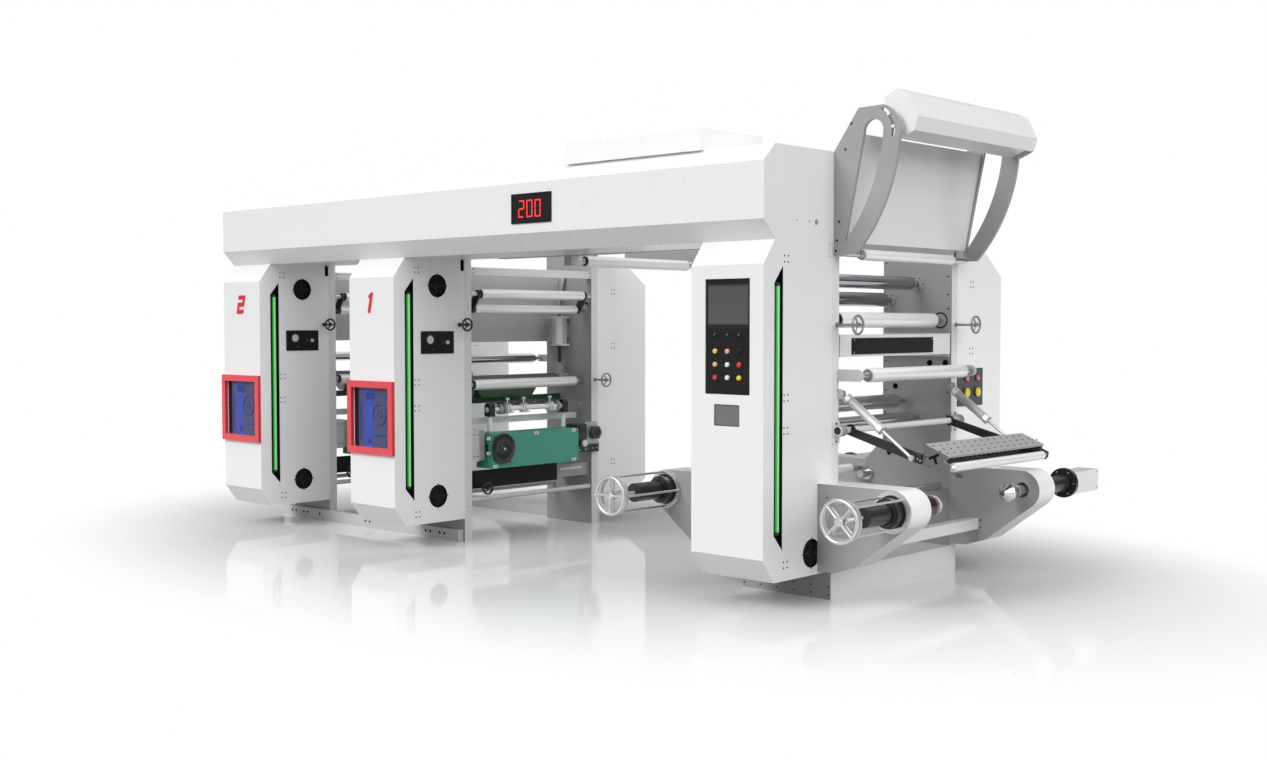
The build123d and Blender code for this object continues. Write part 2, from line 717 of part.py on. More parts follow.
def hood_back_opening(y):
    """What is cut from the hood's back, so that it is open there."""
    top, bottom = hood_places([HOOD_POINTS[0], HOOD_POINTS[-1]])
    high = toward(top, bottom, 2 * HOOD_WALL)
    low = toward(bottom, top, 2 * HOOD_WALL)
    shift = (3 * HOOD_WALL, HOOD_WALL)
    front = [(high[0] + shift[0], high[1] + shift[1]), (low[0] + shift[0], low[1] + shift[1])]
    back = [(low[0] - shift[0], low[1] - shift[1]), (high[0] - shift[0], high[1] - shift[1])]
    return side_plate(front + back, y)


def hood():
    """Folded sheet hood, open at the back, with its pins in the arc slots."""
    y = (-inner + HOOD_FRONT_GAP, HOOD_REACH)
    between = (y[0] + HOOD_WALL, y[1] - HOOD_WALL)
    face = outline(Polyline(*hood_places(HOOD_POINTS), close=True))
    body = side_shape(face, y) - side_shape(offset(face, -HOOD_WALL, kind=Kind.INTERSECTION), between)
    body -= hood_back_opening(between)
    slit_x, ahead, slit_z = STRUT_SLIT
    body -= block(
        [tower_right + value for value in slit_x], (BRACKET_Y[0] - ahead, between[1]),
        [beam_top + value for value in slit_z],
    )
    pivot = hood_places([HOOD_PIVOT])[0]
    for angle in HOOD_PINS:
        turn = math.radians(angle)
        x = pivot[0] + SLOT_RADIUS * math.cos(turn)
        z = pivot[1] + SLOT_RADIUS * math.sin(turn)
        body += bar_across(x, z, PIN_RADIUS, (-BRACKET_Y[1] - PIN_PROUD, between[0]))
        body += bar_across(x, z, PIN_RADIUS, (BRACKET_Y[0] - PIN_PROUD, y[1]))
    return body


# Stands that hold the reels
ARM_OUT = 439.0             # chuck axis beyond the end of the plinth
CHUCK_HEIGHT = 496.0
ARM_NOSE = 105.0
ARM_ROOT_LOW = 160.0
ARM_KNEES = [(102.0, 4.0), (225.0, 45.0)]       # out from the plinth, above the root
ARM_THICK = 117.0           # thickness of the arm outside the frame plate
NOSE_START = -52.0          # degrees, where the straight edge meets the nose
ARM_SLOT = (46.0, 544.0, 66.0, 26.0, 40.0)      # place, length, width and depth
CROSSBAR = 60.0
CROSSBAR_OUT = 150.0
CROSSBAR_LOW = 259.0
SLEEVE = 50.0
SLEEVE_OUT = 260.0
SLEEVE_IN = 150.0           # how far it reaches past the inner face
SLEEVE_FLATS = 24
NOSE_BORE = 84.0            # wide mouth of the sleeve's bore
MOUTH_DEPTH = 30.0
SPINDLE = 30.0
SPINDLE_BORE = 42.0
CONE_COLLAR = (48.0, 40.0)
CONE_TIP = (20.0, 60.0)
CHROME_CONE = (50.0, 12.0, 16.0, 50.0, 30.0)    # rim, its width, tip, nose and back lengths
CONE_SIDES = 16
CONE_REACH = 150.0          # rear cone's collar from the inner face
WHEEL_Y = 1165.0
CAGE_RADIUS = 94.0
CAGE_ROD = 6.0
CAGE_WALL = 10.0
RING_THICK = 12.0
CAGE_END = 22.0             # end ring behind the handwheel's middle
HUB_PLATE = 24.0
SCREW = 11.0
SCREW_BORE = 11.5
SCREW_GRIP = 60.0           # how far the screw reaches into the sleeve
SLEEVE_BORE_DEPTH = 200.0
BRAKE_TUBE = (46.0, 312.0)
BRAKE_FLANGE = (84.0, 24.0, 12.0)       # radius, thickness, overlap with the tube
BRAKE_CASE = (61.0, 296.0)


def chuck_x(side):
    """Where the chuck axis of a stand is; side is 1 on the right, -1 on the left."""
    return side * (PLINTH_LENGTH / 2 + ARM_OUT)


def nose_place(angle):
    """A point on an arm's round nose, out from the plinth."""
    turn = math.radians(angle)
    return ARM_OUT + ARM_NOSE * math.cos(turn), CHUCK_HEIGHT + ARM_NOSE * math.sin(turn)


def arm_face(side, start):
    """Outline of a stand's arm, from its root to its round nose."""
    low = [(start, ARM_ROOT_LOW)] + [(x, ARM_ROOT_LOW + rise) for x, rise in ARM_KNEES]
    bottom, middle, top = [nose_place(angle) for angle in (NOSE_START, (NOSE_START + 90) / 2, 90)]

    def place(point):
        return side * (PLINTH_LENGTH / 2 + point[0]), point[1]

    edge = [place(point) for point in [top, (start, top[1])] + low + [bottom]]
    return outline(Polyline(*edge), ThreePointArc(edge[-1], place(middle), edge[0]))


def arm(side):
    """Arm of a stand without its bore, on the rear side."""
    outer_start = 0 if side > 0 else COLUMN - PLINTH_LENGTH
    inside = side_shape(arm_face(side, 0), (inner, outer))
    return inside + side_shape(arm_face(side, outer_start), (outer, outer + ARM_THICK))


def rear_arm(side):
    """Arm that carries the rear spindle, with its slot on the inner face."""
    end = outer + ARM_THICK
    x, z, length, width, depth = ARM_SLOT
    slot = Pos(side * (PLINTH_LENGTH / 2 + x), z) * SlotOverall(length, width)
    body = arm(side) - side_shape(slot, (inner - 1, inner + depth))
    return body - across(chuck_x(side), CHUCK_HEIGHT, SPINDLE_BORE, (inner - 1, end + 1))


def front_arm(side):
    """Arm with the guide bore of the sliding sleeve and its wide mouth."""
    end = outer + ARM_THICK
    x = chuck_x(side)
    bore = bar_across(x, CHUCK_HEIGHT, SLEEVE + 2 * RUNNING_GAP, (inner - 1, end + 1), 2 * SLEEVE_FLATS)
    mouth = bar_across(x, CHUCK_HEIGHT, NOSE_BORE, (end - MOUTH_DEPTH, end + 1), RING_SIDES)
    return mirrored(arm(side) - bore - mouth)


def stand_crossbar(side):
    """Bar between the two arms of a stand."""
    x = side * (PLINTH_LENGTH / 2 + CROSSBAR_OUT)
    z = (CROSSBAR_LOW, CROSSBAR_LOW + CROSSBAR)
    return block((x - CROSSBAR / 2, x + CROSSBAR / 2), (-inner, inner), z)


def cage_ring(x, y):
    """Ring about a chuck axis, from y[0] to y[1]."""
    rim = bar_across(x, CHUCK_HEIGHT, CAGE_RADIUS + CAGE_WALL, y, RING_SIDES)
    return rim - bar_across(x, CHUCK_HEIGHT, CAGE_RADIUS - CAGE_WALL, (y[0] - 1, y[1] + 1), RING_SIDES)


def cage_turn(side):
    """Angle of a stand's first cage rod and first wheel spoke."""
    return 45 if side > 0 else 0


def chuck_cage(side):
    """Rings, rods and hub plate that hold a stand's screw."""
    x = chuck_x(side)
    z = CHUCK_HEIGHT
    face = -outer - ARM_THICK
    end = -WHEEL_Y + CAGE_END
    y = (end, end + RING_THICK)
    cage = cage_ring(x, (face - RING_THICK, face)) + cage_ring(x, y)
    cage += bar_across(x, z, HUB_PLATE, y, STUB_SIDES)
    for quarter in range(4):
        turn = math.radians(cage_turn(side) + 90 * quarter)
        px = x + CAGE_RADIUS * math.cos(turn)
        pz = z + CAGE_RADIUS * math.sin(turn)
        cage += bar((x, sum(y) / 2, z), (px, sum(y) / 2, pz), CAGE_ROD)
        cage += bar_across(px, pz, CAGE_ROD, (end, face))
    return cage - bar_across(x, z, SCREW_BORE, (y[0] - 1, y[1] + 1))


def chuck_sleeve(side):
    """Black sleeve that slides the front chuck in and out."""
    x = chuck_x(side)
    end = -outer - ARM_THICK - SLEEVE_OUT
    body = across(x, CHUCK_HEIGHT, SLEEVE, (end, -inner + SLEEVE_IN))
    return body - bar_across(x, CHUCK_HEIGHT, SCREW_BORE, (end - 1, end + SLEEVE_BORE_DEPTH))


def tapered(x, y, z, radius, end_radius, length):
    """A cone with flats along Y; a negative length points forward."""
    return frustum((x, y, z), (x, y + length, z), (radius, end_radius), CONE_SIDES)


def front_cone(side):
    """Cone on the end of the sliding sleeve."""
    x = chuck_x(side)
    y = -inner + SLEEVE_IN + SEAT_GAP
    radius, width = CONE_COLLAR
    collar = bar_across(x, CHUCK_HEIGHT, radius, (y, y + width), CONE_SIDES)
    return collar + tapered(x, y + width, CHUCK_HEIGHT, radius, *CONE_TIP)


def rear_spindle(side):
    """Rear double cone on its spindle."""
    x = chuck_x(side)
    y = inner - CONE_REACH
    rim, width, tip, nose, back = CHROME_CONE
    body = across(x, CHUCK_HEIGHT, SPINDLE, (y - 1, outer + ARM_THICK - SEAT_GAP))
    body += tapered(x, y - width, CHUCK_HEIGHT, rim, tip, -nose)
    body += bar_across(x, CHUCK_HEIGHT, rim, (y - width, y), CONE_SIDES)
    return body + tapered(x, y, CHUCK_HEIGHT, rim, SPINDLE - 1, back)


def brake(side):
    """Tension brake behind the rear arm, on its tube."""
    x = chuck_x(side)
    z = CHUCK_HEIGHT
    face = outer + ARM_THICK
    radius, thick, overlap = BRAKE_FLANGE
    start = face + BRAKE_TUBE[1] - overlap
    end = start + thick
    half = BRAKE_CASE[0]
    body = across(x, z, BRAKE_TUBE[0], (face, start + 1))
    body += bar_across(x, z, radius, (start, end), RING_SIDES)
    return body + block((x - half, x + half), (end, end + BRAKE_CASE[1]), (z - half, z + half))


# Handwheels
CHUCK_WHEEL = (106.0, 9.0, 22.0)
TOWER_WHEEL = (52.0, 135.0, 1390.0)         # radius, reach, height
UNIT_FRONT_WHEEL = (44.0, 78.0, 1389.0)
UNIT_FRONT_WHEEL_AHEAD = 40.0
UNIT_REAR_WHEEL = (51.0, 115.0, 1006.0)
UNIT_LOW_WHEEL = (43.0, 70.0, 335.0)
UNIT_LOW_WHEEL_Y = -445.0
SMALL_RIM = 5.0
SMALL_HUB = 11.0
STEM = 7.0


def wheel(radius, rim, hub, spokes, turn=0.0):
    """A handwheel about Z, with its rim's middle at the origin."""
    ring = RegularPolygon(radius, RING_SIDES) - RegularPolygon(radius - 2 * rim, RING_SIDES)
    body = extrude(ring, rim, both=True) + extrude(RegularPolygon(hub, BAR_SIDES), 1.5 * rim, both=True)
    for i in range(spokes):
        spoke = Pos((radius - rim) / 2, 0, 0) * Box(radius - rim, rim, rim)
        body += Rot(0, 0, turn + 360 * i / spokes) * spoke
    return body


def chuck_handwheel(side):
    """Large chrome handwheel of a stand, on its screw."""
    x = chuck_x(side)
    place = Pos(x, -WHEEL_Y, CHUCK_HEIGHT) * Rot(90, 0, 0)
    screw = (-WHEEL_Y, -outer - ARM_THICK - SLEEVE_OUT + SCREW_GRIP)
    return place * wheel(*CHUCK_WHEEL, 4, cage_turn(side)) + bar_across(x, CHUCK_HEIGHT, SCREW, screw)


def edge_handwheel(x, y, size, spokes=3):
    """Small handwheel on a stem that points along the press."""
    radius, reach, z = size
    body = Pos(x + reach, y, z) * Rot(0, 90, 0) * wheel(radius, SMALL_RIM, SMALL_HUB, spokes, 90)
    return body + bar_along(y, z, STEM, (x + SEAT_GAP, x + reach))


# Bars inside a print unit
UNIT_TOP_BAR = ((-52.0, -2.0), (1706.0, 1757.0))
UNIT_MIDDLE_BAR = ((-190.0, -150.0), (735.0, 775.0))
UNIT_NAME_BAR = ((-42.0, -30.0), 240.0, (329.0, 445.0))
UNIT_STAY = ((-308.0, -30.0), (345.0, 430.0))
TIE_RODS = ((-25.0, 262.0), (-385.0, 262.0))
TIE_ROD = 16.0
LINK_HALF = 26.0
LINK_STEPS = 8              # flats round each end of a link plate
LINK_THICK = 14.0
LINK_GAP = 6.0              # from the rollers' ends
LINK_PIN = 9.0


def link_plate(right):
    """Plate that joins the ends of a unit's two upper rollers."""
    ends = [from_right(right, [UNIT_ROLLERS[name][:2]])[0] for name in ("top_roller", "second_roller")]
    (x1, z1), (x2, z2) = ends
    middle = ((x1 + x2) / 2, (z1 + z2) / 2)
    lean = math.atan2(z2 - z1, x2 - x1)
    start = FACE_LENGTH / 2 + LINK_GAP
    y = (start, start + LINK_THICK)
    edge = []
    for (x, z), first in ((ends[0], lean + math.pi / 2), (ends[1], lean - math.pi / 2)):
        for step in range(LINK_STEPS + 1):
            turn = first + math.pi * step / LINK_STEPS
            edge.append((x + LINK_HALF * math.cos(turn), z + LINK_HALF * math.sin(turn)))
    plate = side_plate(edge, y)
    for x, z in ends:
        plate -= bar_across(x, z, JOURNAL + BORE_GAP, (y[0] - 1, y[1] + 1))
    return plate + bar_across(*middle, LINK_PIN, (y[1], inner))


def unit_bars(right):
    """Bars and tie rods that hold the plates of a unit apart."""
    full = (-inner, inner)
    pieces = []
    for x, z in (UNIT_TOP_BAR, UNIT_MIDDLE_BAR):
        pieces.append(block([right + value for value in x], full, z))
    x, end, z = UNIT_NAME_BAR
    name_plate = block([right + value for value in x], (-inner, end), z)
    stay = block([right + value for value in UNIT_STAY[0]], (end, inner), UNIT_STAY[1])
    pieces.append(name_plate + stay)
    pieces += [bar_across(right + x, z, TIE_ROD, full) for x, z in TIE_RODS]
    pieces.append(edge_handwheel(right + UNIT_NAME_BAR[0][1], UNIT_LOW_WHEEL_Y, UNIT_LOW_WHEEL))
    return pieces + both_sides(link_plate(right))


# Dryer, ink pan and doctor blade
DRYER_LOW = (-439.0, 1270.0)
DRYER_HIGH = (-300.0, 1740.0)
DRYER_SHEET = 12.0
CHEEK = [(-427.0, 1262.0), (-292.0, 1735.0), (-245.0, 1735.0), (-372.0, 1262.0)]
CHEEK_Y = (518.0, 530.0)
PAN = [(-270.0, 955.0), (-225.0, 900.0), (225.0, 900.0), (270.0, 955.0)]
PAN_X = (-415.0, -265.0)
PAN_WALL = 6.0
PAN_BAR = ((-360.0, -320.0), (860.0, 900.0))
BLADE_SHAFT = (-67.0, 832.0, 14.0)
BLADE_REACH = 360.0
BEARING_Y = 333.0
BEARING = (60.0, 44.0, 45.0)        # length, width, half height
POST = 12.0
CLAMP_YS = (-180.0, -36.0)
CLAMP = (52.0, 36.0, 31.0)
CLAMP_KNOB = (24.0, 40.0)
COLLAR = (34.0, 40.0)
BLADE_BAR = ((-106.0, -92.0), 300.0, (856.0, 886.0))
BLADE = [(-106.0, 876.0), (-121.0, 924.0), (-118.0, 925.0), (-103.0, 877.0)]


def dryer_panel(right):
    """Sloping sheet of the dryer in a unit, with its cheeks."""
    points = [
        DRYER_LOW, (DRYER_LOW[0] + DRYER_SHEET, DRYER_LOW[1]),
        (DRYER_HIGH[0] + DRYER_SHEET, DRYER_HIGH[1]), DRYER_HIGH,
    ]
    sheet = side_plate(from_right(right, points), (-inner, inner))
    return sheet + both_sides(side_plate(from_right(right, CHEEK), CHEEK_Y))


def ink_pan(right):
    """Open pan under the print cylinder, on its crossbar."""
    x = [right + value for value in PAN_X]
    (back, top), (low_back, bottom), (low_front, _), (front, _) = PAN
    inside = [
        (back + 2 * PAN_WALL, top + 1), (low_back + PAN_WALL, bottom + PAN_WALL),
        (low_front - PAN_WALL, bottom + PAN_WALL), (front - 2 * PAN_WALL, top + 1),
    ]
    pan = end_prism(PAN, x) - end_prism(inside, (x[0] + PAN_WALL, x[1] - PAN_WALL))
    return pan + block([right + value for value in PAN_BAR[0]], (-inner, inner), PAN_BAR[1])


def clamp_block(x, y, z, size):
    """A block about the blade's shaft; size is its length, width and half height."""
    length, width, half = size
    return block((x - length / 2, x + length / 2), (y - width / 2, y + width / 2), (z - half, z + half))


def doctor_blade(right):
    """Doctor blade on its shaft, with bearings, posts, clamps and collars."""
    x = right + BLADE_SHAFT[0]
    z = BLADE_SHAFT[1]
    length, width, half = BEARING
    body = bar_across(x, z, BLADE_SHAFT[2], (-BLADE_REACH, BLADE_REACH))
    for y in (-BEARING_Y, BEARING_Y):
        body += clamp_block(x, y, z, BEARING)
        body += bar((x, y, DRIVE_BOX_TOP), (x, y, z - half + 1), POST)
        side = -math.copysign(1, y)
        face = y + side * width / 2
        body += bar_across(x, z, COLLAR[0], sorted((face, face + side * COLLAR[1])), STUB_SIDES)
    length, width, half = CLAMP
    radius, rise = CLAMP_KNOB
    for y in CLAMP_YS:
        body += clamp_block(x, y, z, CLAMP)
        body += bar((x, y, z + half), (x, y, z + half + rise), radius / 2)
        body += bar((x + length / 2, y, z), (x + length / 2 + rise, y, z - rise / 2), radius / 2)
    blade_x, reach, blade_z = BLADE_BAR
    body += block([right + value for value in blade_x], (-reach, reach), blade_z)
    body += side_plate(from_right(right, BLADE), (-reach, reach))
    for y in CLAMP_YS:
        foot_y = (y - width / 2, y + width / 2)
        body += block((right + blade_x[0], x), foot_y, (z, blade_z[0] + half / 2))
    return body


# Drive box low in a unit
DRIVE_BOX_X = (-100.0, 60.0)
DRIVE_BOX_Y = (-422.0, 360.0)
DRIVE_BOX_LOW = 458.0
DRIVE_BOX_TOP = 683.0
LEFT_BRACKET = ((-60.0, 10.0), -444.0, (508.0, 713.0))
LEFT_NECK = ((-40.0, -10.0), (560.0, 620.0))
BLACK_BRACKET = ((-60.0, 50.0), 450.0, (514.0, 706.0))
CLAMP_PLATE = (20.0, 600.0, (505.0, 715.0))
HEX_BOSS = (545.0, 640.0, 50.0, 40.0)       # y, z, radius, length
KNOB = (400.0, 575.0, 24.0, 36.0)
ROUND_WHEEL = (-344.0, 586.0, 100.0)
WHEEL_STANDOFF = 14.0
WHEEL_FACE = (18.0, 70.0)               # length and end radius of its cone
WHEEL_SIDES = 24


def drive_box(right):
    """Teal box across the unit, with its end brackets and round wheel."""
    face = right + DRIVE_BOX_X[1]
    body = block((right + DRIVE_BOX_X[0], face), DRIVE_BOX_Y, (DRIVE_BOX_LOW, DRIVE_BOX_TOP))
    x, end, z = LEFT_BRACKET
    body += block([right + value for value in x], (-inner, end), z)
    x, z = LEFT_NECK
    body += block([right + value for value in x], (end, DRIVE_BOX_Y[0]), z)
    x, end, z = BLACK_BRACKET
    body += block([right + value for value in x], (DRIVE_BOX_Y[1], end), z)
    thick, reach, z = CLAMP_PLATE
    body += block((right, right + thick), (end, reach), z)
    y, z, radius, length = HEX_BOSS
    body += bar_along(y, z, radius, (right + thick, right + thick + length), 6)
    y, z, radius, length = KNOB
    body += bar_along(y, z, radius, (right + x[1], right + x[1] + length))
    y, z, radius = ROUND_WHEEL
    start = face + WHEEL_STANDOFF
    length, end_radius = WHEEL_FACE
    body += bar_along(y, z, KNOB[2], (face, start))
    return body + frustum((start, y, z), (start + length, y, z), (radius, end_radius), WHEEL_SIDES)


# Impression cylinders
IMPRESSION_Y = 488.0
IMPRESSION_BARREL = (56.0, 1240.0, 1447.0)
IMPRESSION_CAP = (50.0, 14.0)
IMPRESSION_ROD = 11.0
CLEVIS = (22.0, 24.0, 1125.0)
SLIDE_BLOCK = (40.0, 973.0, 1045.0)
MOUNT = (30.0, 1300.0, 1400.0)


def impression_cylinder(right):
    """Air cylinder, clevis and bearing block at one end of the impression roller."""
    x = right + IMPRESSION_ROLLER[0]
    y = IMPRESSION_Y
    radius, low, high = IMPRESSION_BARREL
    barrel = bar((x, y, low), (x, y, high), radius, BARREL_SIDES)
    half, cap = IMPRESSION_CAP
    for z in (low - cap, high):
        barrel += block((x - half, x + half), (y - half, y + half), (z, z + cap))
    half, block_low, block_high = SLIDE_BLOCK
    barrel += bar((x, y, block_high), (x, y, low), IMPRESSION_ROD)
    barrel += block((x - CLEVIS[0], x + CLEVIS[0]), (y - CLEVIS[1], y + CLEVIS[1]), (block_high, CLEVIS[2]))
    barrel += block((x - half, x + half), (inner - BEARING_BACK, inner), (block_low, block_high))
    half, low, high = MOUNT
    return barrel + block((x - half, x + half), (y, inner), (low, high))


os.makedirs("parts", exist_ok=True)

save("tower_plates", both_sides(tower_plate()))
save("unit_plates", [p for right in unit_rights for p in both_sides(unit_plate(right))])
save("plinth", plinth())
save("bridge_plates", both_sides(bridge_plate()))
save("floor_rails", both_sides(floor_rail()))
save("tower_front_housing", tower_front_housing())
save("unit_front_housings", [unit_front_housing(right) for right in unit_rights])
save("rear_cabinets", [rear_cabinet(right) for right in column_rights])
save("overhead_beam", [overhead_beam(), top_box()])
save("light_strips", [light_tube(right) for right in column_rights])
save("control_panel", [control_panel(), small_window(), speed_display()])
save("side_panels", [unit_panel(right) for right in unit_rights] + [rear_panel()])
save("unit_windows", [unit_window(right) for right in unit_rights])
save("unit_panes", [unit_pane(right) for right in unit_rights])
tower_pieces = [name_bar()] + both_sides(bar_pad()) + both_sides(pin_stub())
tower_pieces.append(bar_across(tower_right + LOW_ROD[0], LOW_ROD[1], LOW_ROD[2], (-inner, inner), STUB_SIDES))
tower_pieces += [stand_crossbar(side) for side in (1, -1)]
save("tower_bars", tower_pieces + tower_brackets())
save("unit_bars", [piece for right in unit_rights for piece in unit_bars(right)])
save("dryer_panels", [dryer_panel(right) for right in unit_rights])
save("ink_pans", [ink_pan(right) for right in unit_rights])
save("doctor_blades", [doctor_blade(right) for right in unit_rights])
save("drive_boxes", [drive_box(right) for right in unit_rights])
save("impression_cylinders", [p for right in unit_rights for p in both_sides(impression_cylinder(right))])
save("idle_rollers", idle_rollers())
save("hood_brackets", both_sides(hood_bracket()))
save("hood_back_sheet", hood_back_sheet())
save("inspection_hood", hood())
for name, (x, z, radius) in TOWER_ROLLERS.items():
    save(name, roller(tower_right + x, z, radius))
save("front_guide_roller", roller(tower_right + GUIDE_ROLLER[0], GUIDE_ROLLER[1], GUIDE_ROLLER[2]))
top_reach = BRACKET_Y[0] - SEAT_GAP
save("top_guide_roller", roller(*top_roller_place(), TOP_ROLLER[2], TOP_ROLLER_FACE, top_reach))
for number, right in enumerate(unit_rights, start=1):
    for name, (x, z, radius) in UNIT_ROLLERS.items():
        save(f"unit_{number}_{name}", roller(right + x, z, radius))
    save(f"unit_{number}_impression_roller", impression_roller(right))
    front_y = -outer - UNIT_FRONT_WHEEL_AHEAD
    save(f"unit_{number}_handwheel_front", edge_handwheel(right, front_y, UNIT_FRONT_WHEEL))
    save(f"unit_{number}_handwheel_rear", edge_handwheel(right, outer - PLATE / 2, UNIT_REAR_WHEEL))
save("unwind_arms", [make(side) for side in (1, -1) for make in (rear_arm, front_arm)])
save("chuck_cages", [chuck_cage(side) for side in (1, -1)])
save("tension_brakes", [brake(side) for side in (1, -1)])
for name, side in (("right", 1), ("left", -1)):
    save(f"{name}_chuck_sleeve", chuck_sleeve(side))
    save(f"{name}_front_cone", front_cone(side))
    save(f"{name}_rear_spindle", rear_spindle(side))
    save(f"{name}_chuck_handwheel", chuck_handwheel(side))
for name, side in (("front", -1), ("rear", 1)):
    save(f"tower_handwheel_{name}", edge_handwheel(tower_right, side * (inner + PLATE / 2), TOWER_WHEEL))
save("nip_frame", nip_frame())
save("nip_box", [nip_box()] + nip_ends())
save("nip_roller", nip_roller())
save("nip_cylinder_barrels", [nip_barrel(y) for y in (-CYLINDER_Y, CYLINDER_Y)])
save("nip_cylinder_rods", [nip_rod(y) for y in (-CYLINDER_Y, CYLINDER_Y)])
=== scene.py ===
"""Looks of the two-colour printing press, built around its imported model.

Shapes are given in millimetres, in the model's own frame, and a piece is
brought to metres when it is finished.
"""
from __future__ import annotations

import json
import logging
import math
from dataclasses import dataclass
from enum import Enum
from typing import Callable, Iterable, Sequence

import bmesh
import bpy
from mathutils import Matrix, Vector

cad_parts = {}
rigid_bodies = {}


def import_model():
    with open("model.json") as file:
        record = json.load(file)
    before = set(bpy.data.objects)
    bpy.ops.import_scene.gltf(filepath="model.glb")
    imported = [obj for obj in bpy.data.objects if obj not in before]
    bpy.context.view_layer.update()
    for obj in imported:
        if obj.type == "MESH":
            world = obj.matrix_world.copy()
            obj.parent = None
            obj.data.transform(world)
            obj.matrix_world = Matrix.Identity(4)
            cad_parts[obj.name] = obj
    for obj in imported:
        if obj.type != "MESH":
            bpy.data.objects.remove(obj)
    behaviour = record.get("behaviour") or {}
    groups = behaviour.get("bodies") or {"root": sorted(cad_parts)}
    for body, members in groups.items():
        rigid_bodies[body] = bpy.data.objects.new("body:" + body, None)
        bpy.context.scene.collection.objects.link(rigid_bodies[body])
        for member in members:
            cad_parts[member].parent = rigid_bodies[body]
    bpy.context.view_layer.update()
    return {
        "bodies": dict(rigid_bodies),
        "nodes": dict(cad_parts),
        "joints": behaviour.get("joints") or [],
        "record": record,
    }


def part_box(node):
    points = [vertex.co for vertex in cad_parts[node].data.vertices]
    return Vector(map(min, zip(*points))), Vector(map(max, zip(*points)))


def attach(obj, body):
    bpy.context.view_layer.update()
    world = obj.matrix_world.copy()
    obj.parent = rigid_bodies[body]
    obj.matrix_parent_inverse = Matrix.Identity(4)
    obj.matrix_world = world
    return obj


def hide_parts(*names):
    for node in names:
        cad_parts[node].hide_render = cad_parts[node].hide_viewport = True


LOG = logging.getLogger("press")
Place = Sequence[float]
Pair = tuple[float, float]
Outline = Sequence[Pair]
Colour = tuple[float, float, float]
Stock = bmesh.types.BMesh
Face = bmesh.types.BMFace
Socket = bpy.types.NodeSocket
Tree = bpy.types.NodeTree

# Places of the frame, in millimetres
TOWER_RIGHT = 285.0
UNIT_RIGHTS = (-2556.0, -4031.0)
COLUMN = 450.0
INNER = 545.0
HOUSING_FACE = -1162.0
STAND_X = 724.0
STAND_Z = 496.0
STAND_FACE = -722.0
PRESS = "press"
SIDES = (-1, 1)

AHEAD = Vector((0, -1, 0))
BEHIND = Vector((0, 1, 0))
RIGHT = Vector((1, 0, 0))
UPWARD = Vector((0, 0, 1))
DOWNWARD = Vector((0, 0, -1))

# Degrees from which an edge is rounded, up to which it is shaded smooth, and under which it is taken out
SHARP = 30.0
SMOOTH = 32.0
FLAT = 0.6
# Millimetres in a metre
METRE = 1000.0


class Slot(Enum):
    """Material slots of the record."""

    WHITE = "white_paint"
    GREY = "grey_paint"
    BLACK = "black_paint"
    RED = "red_paint"
    TEAL = "teal_paint"
    GREEN = "green_paint"
    LIGHT = "light_tube"
    PANEL = "panel_black"
    ROLLER = "roller_metal"
    RUBBER = "dark_roller"
    CHROME = "chrome"
    STEEL = "steel"
    IRON = "black_iron"
    GLASS = "window_glass"


class Grain(Enum):
    """Kinds of surface relief."""

    SPRAYED = "sprayed"
    TURNED = "turned"
    BRUSHED = "brushed"
    CAST = "cast"
    SMOOTH = "smooth"


# Finishes
@dataclass(frozen=True)
class Finish:
    """A finish of the press, from which its material is made."""

    name: str
    slot: Slot
    colour: Colour
    roughness: float = 0.4
    metallic: float = 0.0
    grain: Grain = Grain.SPRAYED
    coat: float = 0.0
    worn: Colour | None = None
    wear: float = 0.5
    mottle: float = 0.04
    glow: float = 0.0
    scale: float = 1.0
    shine: float = 0.5


def enamel(name: str, slot: Slot, colour: Colour, roughness: float, coat: float, worn: Colour,
           **more: float) -> Finish:
    """Return a coated paint that is rubbed paler at its edges."""
    return Finish(name, slot, colour, roughness, coat=coat, worn=worn, **more)


def smooth(name: str, slot: Slot, colour: Colour, roughness: float, **more: float) -> Finish:
    """Return a finish without relief."""
    return Finish(name, slot, colour, roughness, grain=Grain.SMOOTH, **more)


def cap(name: str, colour: Colour, roughness: float = 0.28) -> Finish:
    """Return the glossy plastic of a button."""
    return smooth(name, Slot.PANEL, colour, roughness, coat=0.4)


WHITE = enamel("white enamel", Slot.WHITE, (0.83, 0.835, 0.84), 0.32, 0.25, (0.62, 0.63, 0.64), mottle=0.015)
# A brighter copy of the white enamel: painted light on faces that the lamps reach less, such as the unit
# housings' sides, the rear cabinets, the cable box on the beam and the stand arms' rims.
PAINTED_LIGHT_WHITE = enamel("white enamel brightened as painted light", Slot.WHITE, (0.95, 0.952, 0.955), 0.32, 0.25, (0.7, 0.71, 0.72),
                    mottle=0.01)
SIDE_WHITE = enamel("shaded enamel", Slot.WHITE, (0.78, 0.785, 0.79), 0.34, 0.2, (0.6, 0.61, 0.62))
PLATE = enamel("plate enamel", Slot.GREY, (0.34, 0.342, 0.35), 0.36, 0.2, (0.55, 0.555, 0.56), wear=0.9,
               mottle=0.05)
LIGHT_PLATE = enamel("light plate", Slot.GREY, (0.6, 0.605, 0.61), 0.36, 0.2, (0.72, 0.725, 0.73), wear=0.8)
ARM_GREY = enamel("arm enamel", Slot.GREY, (0.34, 0.342, 0.35), 0.38, 0.2, (0.66, 0.665, 0.67), wear=0.8,
                  mottle=0.06)
# A lighter copy of the arm enamel for the rear arm's faces, which get less light: painted light.
ARM_GREY_PAINTED_LIGHT = enamel("arm enamel lightened as painted light", Slot.GREY, (0.42, 0.423, 0.43), 0.38, 0.2, (0.66, 0.665, 0.67),
                   wear=0.8)
BOX_GREY = enamel("box enamel", Slot.GREY, (0.11, 0.111, 0.115), 0.4, 0.1, (0.3, 0.302, 0.31))
BLACK = enamel("black enamel", Slot.BLACK, (0.012, 0.012, 0.014), 0.36, 0.12, (0.12, 0.12, 0.125))
